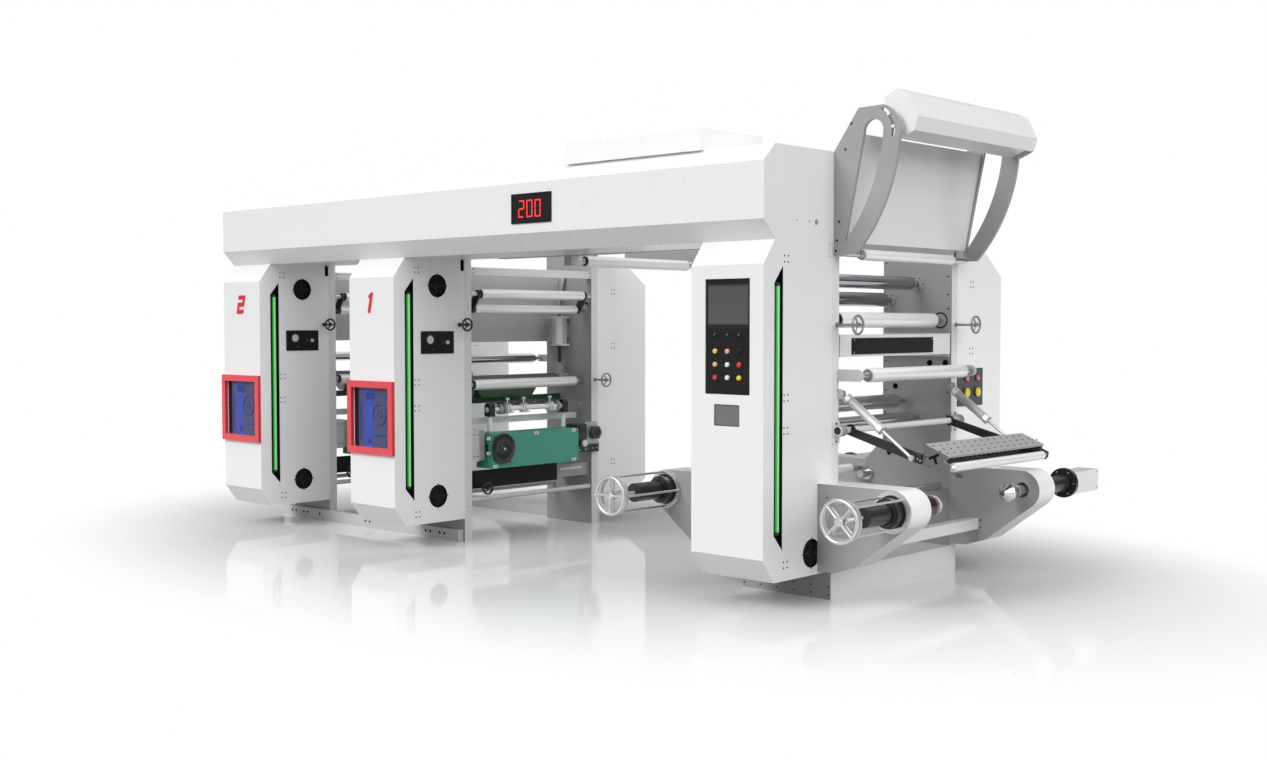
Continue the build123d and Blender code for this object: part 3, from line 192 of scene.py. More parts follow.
DARK_PLATE = enamel("dark plate", Slot.BLACK, (0.045, 0.046, 0.05), 0.4, 0.15, (0.16, 0.16, 0.165))
RED = enamel("red enamel", Slot.RED, (0.75, 0.035, 0.055), 0.3, 0.4, (0.5, 0.02, 0.03), mottle=0.03)
TEAL = enamel("teal enamel", Slot.TEAL, (0.06, 0.38, 0.27), 0.38, 0.1, (0.16, 0.36, 0.3), mottle=0.08)
GREEN = enamel("dark green enamel", Slot.GREEN, (0.012, 0.07, 0.02), 0.34, 0.2, (0.05, 0.16, 0.07))
PALE_PLASTIC = enamel("pale plastic", Slot.ROLLER, (0.76, 0.765, 0.77), 0.35, 0.2, (0.85, 0.85, 0.86))
SATIN_BLACK = Finish("black plastic", Slot.PANEL, (0.008, 0.008, 0.009), 0.5, worn=(0.04, 0.04, 0.042),
                     grain=Grain.CAST, shine=0.2)
ROLLER = Finish("turned aluminium", Slot.ROLLER, (0.72, 0.725, 0.74), 0.22, 1.0, Grain.TURNED,
                worn=(0.85, 0.85, 0.86))
WHITE_ROLLER = Finish("pale roller", Slot.ROLLER, (0.94, 0.942, 0.945), 0.34, 0.25, Grain.SMOOTH, coat=0.2,
                      worn=(0.85, 0.85, 0.86), mottle=0.05)
ALUMINIUM = Finish("drawn aluminium", Slot.ROLLER, (0.66, 0.665, 0.675), 0.34, 0.6, Grain.BRUSHED,
                   worn=(0.85, 0.85, 0.86))
GREY_METAL = Finish("grey metal", Slot.ROLLER, (0.42, 0.422, 0.43), 0.34, 0.5, Grain.BRUSHED,
                    worn=(0.6, 0.6, 0.61))
BRIGHT = smooth("bright plating", Slot.CHROME, (0.66, 0.662, 0.67), 0.24, metallic=0.6, coat=0.3)
DARK_METAL = Finish("dark chrome", Slot.CHROME, (0.42, 0.42, 0.44), 0.16, 1.0, Grain.TURNED)
RUBBER = Finish("roller rubber", Slot.RUBBER, (0.11, 0.11, 0.115), 0.5, grain=Grain.TURNED, mottle=0.1)
DULL_CHROME = smooth("dull chrome", Slot.CHROME, (0.3, 0.302, 0.31), 0.25, metallic=0.8, mottle=0.05)
WHEEL = smooth("handwheel chrome", Slot.CHROME, (0.62, 0.622, 0.63), 0.33, metallic=0.7)
CHROME = smooth("polished chrome", Slot.CHROME, (0.6, 0.605, 0.62), 0.16, metallic=1.0, mottle=0.02)
STEEL = Finish("ground steel", Slot.STEEL, (0.56, 0.56, 0.575), 0.3, 1.0, Grain.BRUSHED,
               worn=(0.75, 0.75, 0.76))
SCREW = smooth("blackened screw", Slot.IRON, (0.015, 0.015, 0.017), 0.5, metallic=0.2)
ZINC = smooth("zinc screw", Slot.STEEL, (0.6, 0.6, 0.62), 0.28, metallic=1.0)
IRON = Finish("blackened iron", Slot.IRON, (0.03, 0.03, 0.032), 0.4, 0.3, Grain.CAST,
              worn=(0.16, 0.16, 0.165))
# Near-black standing for the dark inside of holes, slots, gaps and vents, often as thin discs where no hole
# is cut: painted shade.
HOLE_SHADE = smooth("painted shade inside a hole", Slot.IRON, (0.006, 0.006, 0.007), 0.8, shine=0.1)
GAP = smooth("gasket rubber", Slot.PANEL, (0.015, 0.015, 0.016), 0.6)
CONE_RED = smooth("red ring", Slot.RED, (0.3, 0.03, 0.035), 0.45)
NUMERAL = smooth("red numeral", Slot.RED, (0.7, 0.02, 0.03), 0.35, coat=0.3)
LAMP = smooth("lit tube", Slot.LIGHT, (0.14, 0.62, 0.15), 0.35, glow=0.55)
LAMP_SIDE = smooth("lit tube beside", Slot.LIGHT, (0.05, 0.36, 0.07), 0.35, glow=0.4)
LAMP_EDGE = smooth("lit tube edge", Slot.LIGHT, (0.015, 0.14, 0.02), 0.35, glow=0.25)
DIGIT = smooth("lit digit", Slot.RED, (0.9, 0.03, 0.03), 0.4, glow=0.7)
YELLOW_CAP = cap("yellow cap", (0.85, 0.62, 0.02))
RED_CAP = cap("red cap", (0.7, 0.03, 0.04))
WHITE_CAP = cap("white cap", (0.8, 0.8, 0.78))
PEACH_CAP = cap("peach cap", (0.8, 0.42, 0.26))
PINK_CAP = cap("pink cap", (0.72, 0.2, 0.2))
ROSE_LENS = cap("rose lens", (0.75, 0.48, 0.48), 0.25)
PALE_LENS = smooth("pale lens", Slot.PANEL, (0.62, 0.63, 0.64), 0.2, coat=0.6, mottle=0.1)
SCREEN = smooth("screen glass", Slot.PANEL, (0.09, 0.095, 0.1), 0.12, coat=0.6, mottle=0.1)
WINDOW_GREY = smooth("grey window", Slot.PANEL, (0.13, 0.132, 0.138), 0.15, coat=0.6, mottle=0.1)
DISPLAY = smooth("display glass", Slot.PANEL, (0.012, 0.012, 0.014), 0.15, coat=0.6)
PANE = smooth("window pane", Slot.GLASS, (0.04, 0.08, 0.46), 0.2, mottle=0.25, scale=0.12, shine=0.2)
PANE_DARK = smooth("dark behind the pane", Slot.GLASS, (0.008, 0.008, 0.02), 0.2, shine=0.2)
PANE_GREY = smooth("grey behind the pane", Slot.GLASS, (0.07, 0.073, 0.17), 0.2, mottle=0.12, scale=0.2,
                   shine=0.2)
PANE_LINE = smooth("shape behind the pane", Slot.GLASS, (0.03, 0.045, 0.26), 0.3, shine=0.15)

FaceFinish = Finish | Callable[[Face], Finish]


class Net:
    """Short ways to build one node tree."""

    def __init__(self, tree: Tree) -> None:
        """Keep the tree."""
        self.tree = tree

    @classmethod
    def group(cls, name: str, inputs: str, outputs: str) -> tuple["Net", bpy.types.NodeOutputs]:
        """Start a node group.

        Args:
            name: The group's name.
            inputs: The names of its inputs, in one line.
            outputs: The names of its outputs, in one line.

        Returns:
            The net, and the sockets that bring the inputs.
        """
        tree = bpy.data.node_groups.new(name, "ShaderNodeTree")
        for way, words in (("INPUT", inputs), ("OUTPUT", outputs)):
            for word in words.split():
                kind = "NodeSocketColor" if word in ("Colour", "Worn") else "NodeSocketFloat"
                tree.interface.new_socket(word, in_out=way, socket_type=kind)
        return cls(tree), tree.nodes.new("NodeGroupInput").outputs

    def end(self, **sockets: Socket) -> Tree:
        """Join a group's outputs and return its tree."""
        self.feed(self.tree.nodes.new("NodeGroupOutput"), sockets)
        return self.tree

    def feed(self, node: bpy.types.Node, sockets: dict[str | int, object]) -> None:
        """Give a node's inputs their values, or join them to the outputs of others."""
        for key, value in sockets.items():
            if isinstance(value, Socket):
                self.tree.links.new(value, node.inputs[key])
            else:
                node.inputs[key].default_value = value

    def add(self, kind: str, sockets: dict[str | int, object] | None = None,
            **settings: object) -> bpy.types.Node:
        """Add a node.

        Args:
            kind: The end of its type name.
            sockets: What its inputs get.
            settings: Its own properties.

        Returns:
            The new node.
        """
        node = self.tree.nodes.new(f"ShaderNode{kind}")
        for name, value in settings.items():
            setattr(node, name, value)
        self.feed(node, sockets or {})
        return node

    def math(self, operation: str, first: object, second: object, clamp: bool = False) -> Socket:
        """Return the result of a sum."""
        return self.add("Math", {0: first, 1: second}, operation=operation, use_clamp=clamp).outputs[0]

    def noise(self, vector: Socket, scale: object, detail: float, roughness: float = 0.5) -> Socket:
        """Return a cloudy pattern."""
        looks = {"Vector": vector, "Scale": scale, "Detail": detail, "Roughness": roughness}
        return self.add("TexNoise", looks).outputs["Fac"]

    def remap(self, value: Socket, *limits: float, kind: str = "LINEAR") -> Socket:
        """Return a value taken from one range to another."""
        names = ("From Min", "From Max", "To Min", "To Max")
        return self.add("MapRange", {"Value": value, **dict(zip(names, limits))},
                        interpolation_type=kind).outputs["Result"]

    def mix(self, factor: Socket, first: object, second: object) -> Socket:
        """Return a mix of two colours."""
        return self.add("Mix", {0: factor, 6: first, 7: second}, data_type="RGBA").outputs[2]

    def blend(self, factor: Socket, first: Socket, second: Socket) -> Socket:
        """Return a mix of two shaders."""
        return self.add("MixShader", {0: factor, 1: first, 2: second}).outputs[0]

    def object_place(self) -> Socket:
        """Return the object's own coordinates."""
        return self.add("TexCoord").outputs["Object"]


def mottle_group() -> Tree:
    """Slow changes of shade and gloss over a surface."""
    net, start = Net.group("mottled surface", "Colour Scale Amount Roughness", "Colour Roughness")
    where = net.object_place()
    swing = net.math("MULTIPLY", net.noise(where, start["Scale"], 4.0, 0.55), start["Amount"])
    shade = net.add("HueSaturation", {"Color": start["Colour"], "Value": net.math("SUBTRACT", 1.0, swing)})
    gloss = net.remap(net.noise(where, 6.0, 2.0), 0.3, 0.7, 0.88, 1.12)
    return net.end(Colour=shade.outputs["Color"], Roughness=net.math("MULTIPLY", start["Roughness"], gloss))


def wear_group() -> Tree:
    """Paler, rubbed edges."""
    net, start = Net.group("rubbed edges", "Colour Worn Wear", "Colour")
    edge = net.add("Attribute", attribute_name="edge").outputs["Fac"]
    chips = net.remap(net.noise(net.object_place(), 55.0, 5.0, 0.7), 0.35, 0.62, 0.45)
    strength = net.math("MULTIPLY", net.math("MULTIPLY", edge, chips), start["Wear"], clamp=True)
    return net.end(Colour=net.mix(strength, start["Colour"], start["Worn"]))


def relief_group(name: str, stretch: Colour, scale: float, depth: float) -> Tree:
    """A fine surface relief, and how it changes the gloss.

    Args:
        name: The group's name.
        stretch: How the pattern is drawn out along each axis.
        scale: How fine the pattern is.
        depth: Height of the fine pattern.

    Returns:
        The new node tree.
    """
    net, start = Net.group(name, "Roughness", "Height Roughness")
    drawn = net.add("Mapping", {"Vector": net.object_place(), "Scale": stretch}).outputs["Vector"]
    height = net.math("MULTIPLY", net.noise(drawn, scale, 2.0), depth)
    change = net.remap(net.noise(drawn, scale * 0.12, 3.0), 0.3, 0.7, 0.9, 1.1)
    return net.end(Height=height, Roughness=net.math("MULTIPLY", start["Roughness"], change))


class Painter:
    """Makes each finish's material once."""

    bumps = {Grain.SPRAYED: 0.05, Grain.CAST: 0.25}
    bump_height = 0.00006
    coat_roughness = 0.12
    mottle_scale = 2.2

    def __init__(self) -> None:
        """Build the shared groups."""
        self.mottle = mottle_group()
        self.wear = wear_group()
        self.relief = {Grain.SPRAYED: relief_group("sprayed relief", (1, 1, 1), 500.0, 0.35),
                       Grain.CAST: relief_group("cast relief", (1, 1, 1), 420.0, 0.8),
                       Grain.TURNED: relief_group("turned relief", (0.02, 1, 0.02), 240.0, 0.3),
                       Grain.BRUSHED: relief_group("brushed relief", (1, 0.03, 1), 300.0, 0.3)}
        self.made: dict[str, bpy.types.Material] = {}

    def material(self, finish: Finish) -> bpy.types.Material:
        """Return the material of a finish, made when it is first asked for."""
        if finish.name not in self.made:
            self.made[finish.name] = self._make(finish)
        return self.made[finish.name]

    def _make(self, finish: Finish) -> bpy.types.Material:
        """Build the nodes of a finish."""
        material = bpy.data.materials.new(finish.name)
        material.use_nodes = True
        net = Net(material.node_tree)
        mottle = net.add("Group", {"Colour": (*finish.colour, 1), "Scale": self.mottle_scale / finish.scale,
                                   "Amount": finish.mottle, "Roughness": finish.roughness},
                         node_tree=self.mottle).outputs
        worn = net.add("Group", {"Colour": mottle["Colour"], "Worn": (*(finish.worn or finish.colour), 1),
                                 "Wear": finish.wear}, node_tree=self.wear).outputs["Colour"]
        looks = {"Metallic": finish.metallic, "Coat Weight": finish.coat, "Specular IOR Level": finish.shine,
                 "Coat Roughness": self.coat_roughness, "Base Color": worn, "Roughness": mottle["Roughness"]}
        if finish.grain in self.relief:
            relief = net.add("Group", {"Roughness": mottle["Roughness"]},
                             node_tree=self.relief[finish.grain]).outputs
            looks["Roughness"] = relief["Roughness"]
            if finish.grain in self.bumps:
                bump = net.add("Bump", {"Strength": self.bumps[finish.grain], "Distance": self.bump_height,
                                        "Height": relief["Height"]})
                looks["Normal"] = bump.outputs["Normal"]
        if finish.glow:
            looks.update({"Emission Strength": finish.glow, "Emission Color": worn})
        net.feed(material.node_tree.nodes["Principled BSDF"], looks)
        return material


# Shapes
def toward(point: Place, direction: Vector) -> Matrix:
    """Return the matrix that stands local +Z along a direction at a point."""
    turn = UPWARD.rotation_difference(Vector(direction)).to_matrix().to_4x4()
    return Matrix.Translation(Vector(point)) @ turn


def around(count: int, radius: float, centre: Pair = (0.0, 0.0),
           start: float = 0.0) -> list[Pair]:
    """Return points that are spread evenly round a circle, the first at an angle in degrees."""
    angles = [math.radians(start + 360 * number / count) for number in range(count)]
    return [(centre[0] + radius * math.cos(a), centre[1] + radius * math.sin(a)) for a in angles]


def collar(inner: float, outer: float, height: float, chamfer: float = 0.0) -> list[Pair]:
    """Return the closed profile of a ring, plain or with its outer edges chamfered."""
    if not chamfer:
        return [(inner, 0), (outer, 0), (outer, height), (inner, height), (inner, 0)]
    small = outer - chamfer
    return [(inner, 0), (small, 0), (outer, chamfer), (outer, height - chamfer), (small, height),
            (inner, height), (inner, 0)]


def stock_box(low: Place, high: Place, rounding: float = 1.0) -> Stock:
    """Return a box between two corners, with rounded edges."""
    stock = bmesh.new()
    bmesh.ops.create_cube(stock, size=1.0)
    bmesh.ops.scale(stock, vec=Vector(high) - Vector(low), verts=stock.verts)
    bmesh.ops.translate(stock, vec=(Vector(high) + Vector(low)) / 2, verts=stock.verts)
    return rounded(stock, rounding)


def rounded(stock: Stock, rounding: float) -> Stock:
    """Round the sharp edges of a stock, and mark the rounded faces for wear."""
    layer = stock.faces.layers.float.get("edge") or stock.faces.layers.float.new("edge")
    if rounding > 0:
        edges = [e for e in stock.edges
                 if len(e.link_faces) == 2 and e.calc_face_angle(0) > math.radians(SHARP)]
        made = bmesh.ops.bevel(stock, geom=edges, offset=rounding, offset_type="OFFSET", segments=2,
                               profile=0.5, affect="EDGES", clamp_overlap=True, material=-1)
        for face in made["faces"]:
            face[layer] = 1.0
    return stock


def spun(stock: Stock, geometry: list, steps: int) -> Stock:
    """Turn a profile about +Z and close the shape."""
    bmesh.ops.spin(stock, geom=geometry, cent=(0, 0, 0), axis=(0, 0, 1), angle=math.tau, steps=steps,
                   use_merge=True)
    bmesh.ops.remove_doubles(stock, verts=stock.verts, dist=1e-3)
    bmesh.ops.dissolve_degenerate(stock, edges=stock.edges, dist=1e-4)
    bmesh.ops.recalc_face_normals(stock, faces=stock.faces)
    return stock


def stock_lathe(profile: Outline, steps: int = 32) -> Stock:
    """Return a shape turned about +Z from (radius, height) points."""
    stock = bmesh.new()
    verts = [stock.verts.new((radius, 0, height)) for radius, height in profile]
    edges = [stock.edges.new(pair) for pair in zip(verts, verts[1:])]
    return spun(stock, verts + edges, steps)


def stock_ring(radius: float, thick: float, steps: int = 48, sides: int = 12) -> Stock:
    """Return a round ring about +Z; radius is that of its middle line."""
    stock = bmesh.new()
    bmesh.ops.create_circle(stock, segments=sides, radius=thick)
    bmesh.ops.rotate(stock, cent=(0, 0, 0), matrix=Matrix.Rotation(math.pi / 2, 3, "X"), verts=stock.verts)
    bmesh.ops.translate(stock, vec=(radius, 0, 0), verts=stock.verts)
    return spun(stock, stock.verts[:] + stock.edges[:], steps)


def stock_rod(radius: float, length: float, chamfer: float = 1.0, steps: int = 24) -> Stock:
    """Return a round bar along +Z from the origin, with rounded ends."""
    c = min(chamfer, radius * 0.45, length * 0.45)
    small = c * 0.3
    return stock_lathe([(0, 0), (radius - c, 0), (radius - small, small), (radius, c), (radius, length - c),
                        (radius - small, length - small), (radius - c, length), (0, length)], steps)


def raised(stock: Stock, drawn: dict, vec: Place) -> None:
    """Move what an extrusion has drawn out."""
    verts = [v for v in drawn["geom"] if isinstance(v, bmesh.types.BMVert)]
    bmesh.ops.translate(stock, vec=vec, verts=verts)


def stock_prism(points: Outline, depth: float, rounding: float = 1.0, corner: float = 0.0) -> Stock:
    """Return an outline in local X and Y, drawn out along +Z.

    Args:
        points: The outline's corners.
        depth: How far it is drawn out.
        rounding: The width of the rounding of its edges.
        corner: The radius of the outline's own corners.

    Returns:
        The solid.
    """
    stock = bmesh.new()
    stock.faces.new([stock.verts.new((x, y, 0)) for x, y in points])
    if corner:
        bmesh.ops.bevel(stock, geom=stock.verts[:], offset=corner, offset_type="OFFSET", segments=3,
                        profile=0.5, affect="VERTICES", clamp_overlap=True, material=-1)
    drawn = bmesh.ops.extrude_face_region(stock, geom=stock.faces[:], use_keep_orig=True)
    raised(stock, drawn, (0, 0, depth))
    bmesh.ops.recalc_face_normals(stock, faces=stock.faces)
    return rounded(stock, rounding)


def sunk(stock: Stock, wall: float, depth: float) -> Stock:
    """Sink the middle of a stock's top face, and leave a wall round it."""
    face = max(stock.faces, key=lambda each: each.calc_center_median().z)
    stock.normal_update()
    inward = face.normal * -depth
    bmesh.ops.inset_region(stock, faces=[face], thickness=wall, use_even_offset=True)
    raised(stock, bmesh.ops.extrude_face_region(stock, geom=[face]), inward)
    bmesh.ops.delete(stock, geom=[face], context="FACES_ONLY")
    bmesh.ops.recalc_face_normals(stock, faces=stock.faces)
    return stock


def stock_screw(radius: float, height: float) -> Stock:
    """Return a socket screw's head about +Z, with the hole for its key."""
    stock = bmesh.new()
    bmesh.ops.create_cone(stock, segments=12, radius1=radius, radius2=radius * 0.94, depth=height,
                          cap_ends=True)
    bmesh.ops.translate(stock, vec=(0, 0, height / 2), verts=stock.verts)
    return sunk(stock, radius * 0.45, height * 0.55)


def outline_box(low: Pair, high: Pair) -> Outline:
    """Return the four corners of an upright outline."""
    return [low, (high[0], low[1]), high, (low[0], high[1])]


def on_side(x: float) -> Matrix:
    """Return the matrix that lays an outline of Y and Z on a side, rising to the right."""
    return Matrix(((0, 0, 1, x), (1, 0, 0, 0), (0, 1, 0, 0), (0, 0, 0, 1)))


def on_front(y: float) -> Matrix:
    """Return the matrix that lays an outline of X and Z on a front, rising ahead."""
    return Matrix(((1, 0, 0, 0), (0, 0, -1, y), (0, 1, 0, 0), (0, 0, 0, 1)))


class Piece:
    """One piece of the scene, put together from stocks."""

    painter: Painter
    frame: dict

    def __init__(self, name: str, slot: Slot, body: str = PRESS) -> None:
        """Start an empty piece that rides on a body."""
        self.name = name
        self.body = body
        self.slot = slot
        self.bm = bmesh.new()
        self.bm.faces.layers.float.new("edge")
        self.finishes: list[Finish] = []

    def _index(self, finish: Finish) -> int:
        """Return the material index of a finish, added when it is new."""
        if finish not in self.finishes:
            self.finishes.append(finish)
        return self.finishes.index(finish)

    def add(self, stock: Stock, finish: FaceFinish, *places: Matrix) -> None:
        """Add a stock once at each place.

        Args:
            stock: The shape, which is used up.
            finish: Its finish, or what gives each face its own.
            places: Matrices that take it into the press's frame; none leaves it where it is.
        """
        if not stock.faces.layers.float.get("edge"):
            stock.faces.layers.float.new("edge")
        stock.normal_update()
        for face in stock.faces:
            face.material_index = self._index(finish if isinstance(finish, Finish) else finish(face))
        mesh = bpy.data.meshes.new("stock")
        stock.to_mesh(mesh)
        stock.free()
        for place in places or (Matrix.Identity(4),):
            moved = mesh.copy()
            moved.transform(place)
            if place.determinant() < 0:
                moved.flip_normals()
            self.bm.from_mesh(moved)
            bpy.data.meshes.remove(moved)
        bpy.data.meshes.remove(mesh)

    def box(self, low: Place, high: Place, finish: Finish, rounding: float = 1.0, *places: Matrix) -> None:
        """Add a box between two corners."""
        self.add(stock_box(low, high, rounding), finish, *places)

    def rod(self, start: Place, end: Place, radius: float, finish: Finish, chamfer: float = 1.0,
            steps: int = 24) -> None:
        """Add a round bar between two points."""
        way = Vector(end) - Vector(start)
        self.add(stock_rod(radius, way.length, chamfer, steps), finish, toward(start, way))

    def lathe(self, profile: Outline, point: Place, direction: Vector, finish: Finish,
              steps: int = 32) -> None:
        """Add a turned shape that stands at a point along a direction."""
        self.add(stock_lathe(profile, steps), finish, toward(point, direction))

    def disc(self, radius: float, height: float, point: Place, direction: Vector, finish: Finish,
             steps: int = 24) -> None:
        """Add a plain round disc."""
        self.lathe([(0, 0), (radius, 0), (radius, height), (0, height)], point, direction, finish, steps)

    def prism(self, points: Outline, depth: float, finish: Finish, place: Matrix, rounding: float = 1.0,
              corner: float = 0.0) -> None:
        """Add an outline that is drawn out."""
        self.add(stock_prism(points, depth, rounding, corner), finish, place)

    def slab(self, low: Place, high: Place, depth: float, finish: Finish, place: Matrix,
             rounding: float = 1.0, corner: float = 0.0) -> None:
        """Add a four-cornered outline that is drawn out."""
        self.prism(outline_box(low, high), depth, finish, place, rounding, corner)

    def tray(self, points: Outline, depth: float, wall: float, floor: float, finish: Finish,
             place: Matrix) -> None:
        """Add an open tray with its floor at the bottom."""
        self.add(sunk(stock_prism(points, depth, 0), wall, depth - floor), finish, place)

    def screws(self, points: Iterable[Place], direction: Vector, radius: float, height: float,
               finish: Finish = SCREW) -> None:
        """Add a screw head at each point."""
        self.add(stock_screw(radius, height), finish, *[toward(point, direction) for point in points])

    def cast(self, node: str, rounding: float,
             choose: Finish | Callable[[Vector, Vector], FaceFinish]) -> None:
        """Add a CAD node's own shape, merged and with rounded edges.

        Args:
            node: The node's name.
            rounding: The width of the rounding.
            choose: Its finish, or what gives each solid its own by its lowest and highest corner.
        """
        copy = bmesh.new()
        copy.from_mesh(self.frame["nodes"][node].data)
        bmesh.ops.scale(copy, vec=(METRE, METRE, METRE), verts=copy.verts)
        bmesh.ops.remove_doubles(copy, verts=copy.verts, dist=0.01)
        bmesh.ops.dissolve_limit(copy, angle_limit=math.radians(FLAT), verts=copy.verts, edges=copy.edges,
                                 use_dissolve_boundaries=False, delimit=set())
        for island in islands(copy):
            finish = choose if isinstance(choose, Finish) else choose(*spread(island))
            self.add(rounded(apart(island), rounding), finish)
        copy.free()

    def finish(self, *nodes: str, weighted: bool = True) -> None:
        """Make the object, dress it and let it ride.

        Args:
            nodes: CAD nodes that it replaces.
            weighted: Whether large faces keep their own normals.
        """
        bmesh.ops.scale(self.bm, vec=(0.001, 0.001, 0.001), verts=self.bm.verts)
        for face in self.bm.faces:
            face.smooth = True
        for edge in self.bm.edges:
            edge.smooth = len(edge.link_faces) == 2 and edge.calc_face_angle(0) < math.radians(SMOOTH)
        mesh = bpy.data.meshes.new(self.name)
        self.bm.to_mesh(mesh)
        self.bm.free()
        for finish in self.finishes:
            mesh.materials.append(self.painter.material(finish))
        thing = bpy.data.objects.new(self.name, mesh)
        bpy.context.scene.collection.objects.link(thing)
        if weighted:
            thing.modifiers.new("flat faces", "WEIGHTED_NORMAL").keep_sharp = True
        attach(thing, self.body)
        if nodes:
            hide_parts(*nodes)
        LOG.info("%s: %d faces", self.name, len(mesh.polygons))


def islands(shape: Stock) -> list[list[Face]]:
    """Return the faces of each connected solid."""
    left = set(shape.faces)
    groups = []
    while left:
        group = [left.pop()]
        edge = list(group)
        while edge:
            for side in edge.pop().edges:
                for near in side.link_faces:
                    if near in left:
                        left.remove(near)
                        group.append(near)
                        edge.append(near)
        groups.append(group)
    groups.sort(key=lambda group: tuple(round(c, 1) for c in spread(group)[0]))
    return groups


def spread(faces: Iterable[Face]) -> tuple[Vector, Vector]:
    """Return the lowest and highest corner of some faces."""
    points = [vert.co for face in faces for vert in face.verts]
    low, high = [Vector([pick(p[i] for p in points) for i in range(3)]) for pick in (min, max)]
    return low, high


def apart(faces: list[Face]) -> Stock:
    """Return a shape of its own with copies of these faces."""
    stock = bmesh.new()
    seen: dict[bmesh.types.BMVert, bmesh.types.BMVert] = {}
    for face in faces:
        for vert in face.verts:
            if vert not in seen:
                seen[vert] = stock.verts.new(vert.co)
        stock.faces.new([seen[vert] for vert in face.verts])
    return stock


# The studio
@dataclass
class Studio:
    """Camera, floor and lamps."""

    eye: Place = (4.4855, -6.552, 1.4)
    azimuth: float = 43.0974
    pitch: float = 2.2727
    lens: float = 40.82
    sky: float = 0.62
    # Brightness against height of what polished parts reflect
    stops: Outline = ((0.42, 0.45), (0.49, 0.12), (0.58, 0.07), (0.68, 0.3), (0.84, 1.0))
    # Name, strength, angle and direction of each lamp
    lamps: tuple[tuple, ...] = (("front lamp", 1.95, 34.0, (0.22, 0.8, -0.56)),
                                ("right lamp", 1.35, 45.0, (-0.88, 0.12, -0.42)))

    def build(self) -> None:
        """Make the camera, the world, the floor and the lamps."""
        self._camera()
        self._world()
        self._floor()
        self._lamps()

    def _camera(self) -> None:
        """Place the camera at the photograph's viewpoint."""
        data = bpy.data.cameras.new("view")
        data.lens = self.lens
        data.sensor_width = 36.0
        data.clip_end = 200.0
        camera = bpy.data.objects.new("view", data)
        camera.location = self.eye
        camera.rotation_euler = (math.radians(90 - self.pitch), 0, math.radians(self.azimuth))
        bpy.context.scene.collection.objects.link(camera)
        bpy.context.scene.camera = camera
        bpy.context.scene.view_settings.view_transform = "Standard"

    def _world(self) -> None:
        """White for the camera, softly graded for reflections, plain for light."""
        world = bpy.data.worlds.new("studio")
        bpy.context.scene.world = world
        world.use_nodes = True
        net = Net(world.node_tree)
        plain = world.node_tree.nodes["Background"]
        net.feed(plain, {"Strength": self.sky, "Color": (1, 1, 1, 1)})
        parts = net.add("SeparateXYZ", {0: net.add("TexCoord").outputs["Generated"]})
        ramp = net.add("ValToRGB", {"Fac": net.remap(parts.outputs["Z"], -1.0)})
        stops = ramp.color_ramp.elements
        stops[0].color = (0.8, 0.8, 0.8, 1)
        stops[1].color = (1, 1, 1, 1)
        for position, shade in self.stops:
            stops.new(position).color = (shade, shade, shade * 1.02, 1)
        graded = net.add("Background", {"Color": ramp.outputs["Color"], "Strength": 1.0})
        white = net.add("Background", {"Color": (1, 1, 1, 1), "Strength": 1.0})
        path = net.add("LightPath").outputs
        shiny = net.math("MAXIMUM", path["Is Glossy Ray"], path["Is Transmission Ray"])
        unseen = net.blend(shiny, plain.outputs[0], graded.outputs[0])
        seen = net.blend(path["Is Camera Ray"], unseen, white.outputs[0])
        net.feed(world.node_tree.nodes["World Output"], {"Surface": seen})

    def _floor(self) -> None:
        """A pale, polished floor that fades to white far away."""
        bm = bmesh.new()
        bmesh.ops.create_grid(bm, x_segments=1, y_segments=1, size=60.0)
        mesh = bpy.data.meshes.new("floor")
        bm.to_mesh(mesh)
        bm.free()
        floor = bpy.data.objects.new("floor", mesh)
        bpy.context.scene.collection.objects.link(floor)
        material = bpy.data.materials.new("polished floor")
        material.use_nodes = True
        net = Net(material.node_tree)
        shader = material.node_tree.nodes["Principled BSDF"]
        path = net.add("LightPath").outputs
        seen = net.math("MAXIMUM", path["Is Camera Ray"], path["Is Glossy Ray"])
        colour = net.mix(seen, (0.24, 0.24, 0.243, 1), (0.9, 0.902, 0.905, 1))
        net.feed(shader, {"Base Color": colour, "Roughness": 0.06, "IOR": 1.5})
        centre = net.add("Mapping", {"Vector": net.object_place(), "Location": (0.52, 0.0, 0.0),
                                     "Scale": (0.28, 0.44, 0.2)})
        far = net.add("VectorMath", {0: centre.outputs["Vector"]}, operation="LENGTH").outputs["Value"]
        share = net.math("MULTIPLY", net.remap(far, 0.68, 1.35, kind="SMOOTHSTEP"), seen)
        glow = net.add("Emission", {"Strength": 1.0})
        mixed = net.blend(share, shader.outputs["BSDF"], glow.outputs["Emission"])
        net.feed(material.node_tree.nodes["Material Output"], {"Surface": mixed})
        mesh.materials.append(material)

    def _lamps(self) -> None:
        """One broad soft lamp from the front and above, and a weaker one from the right."""
        for name, strength, angle, direction in self.lamps:
            data = bpy.data.lights.new(name, "SUN")
            data.energy = strength
            data.angle = math.radians(angle)
            lamp = bpy.data.objects.new(name, data)
            lamp.rotation_euler = Vector(direction).to_track_quat("-Z", "Y").to_euler()
            bpy.context.scene.collection.objects.link(lamp)


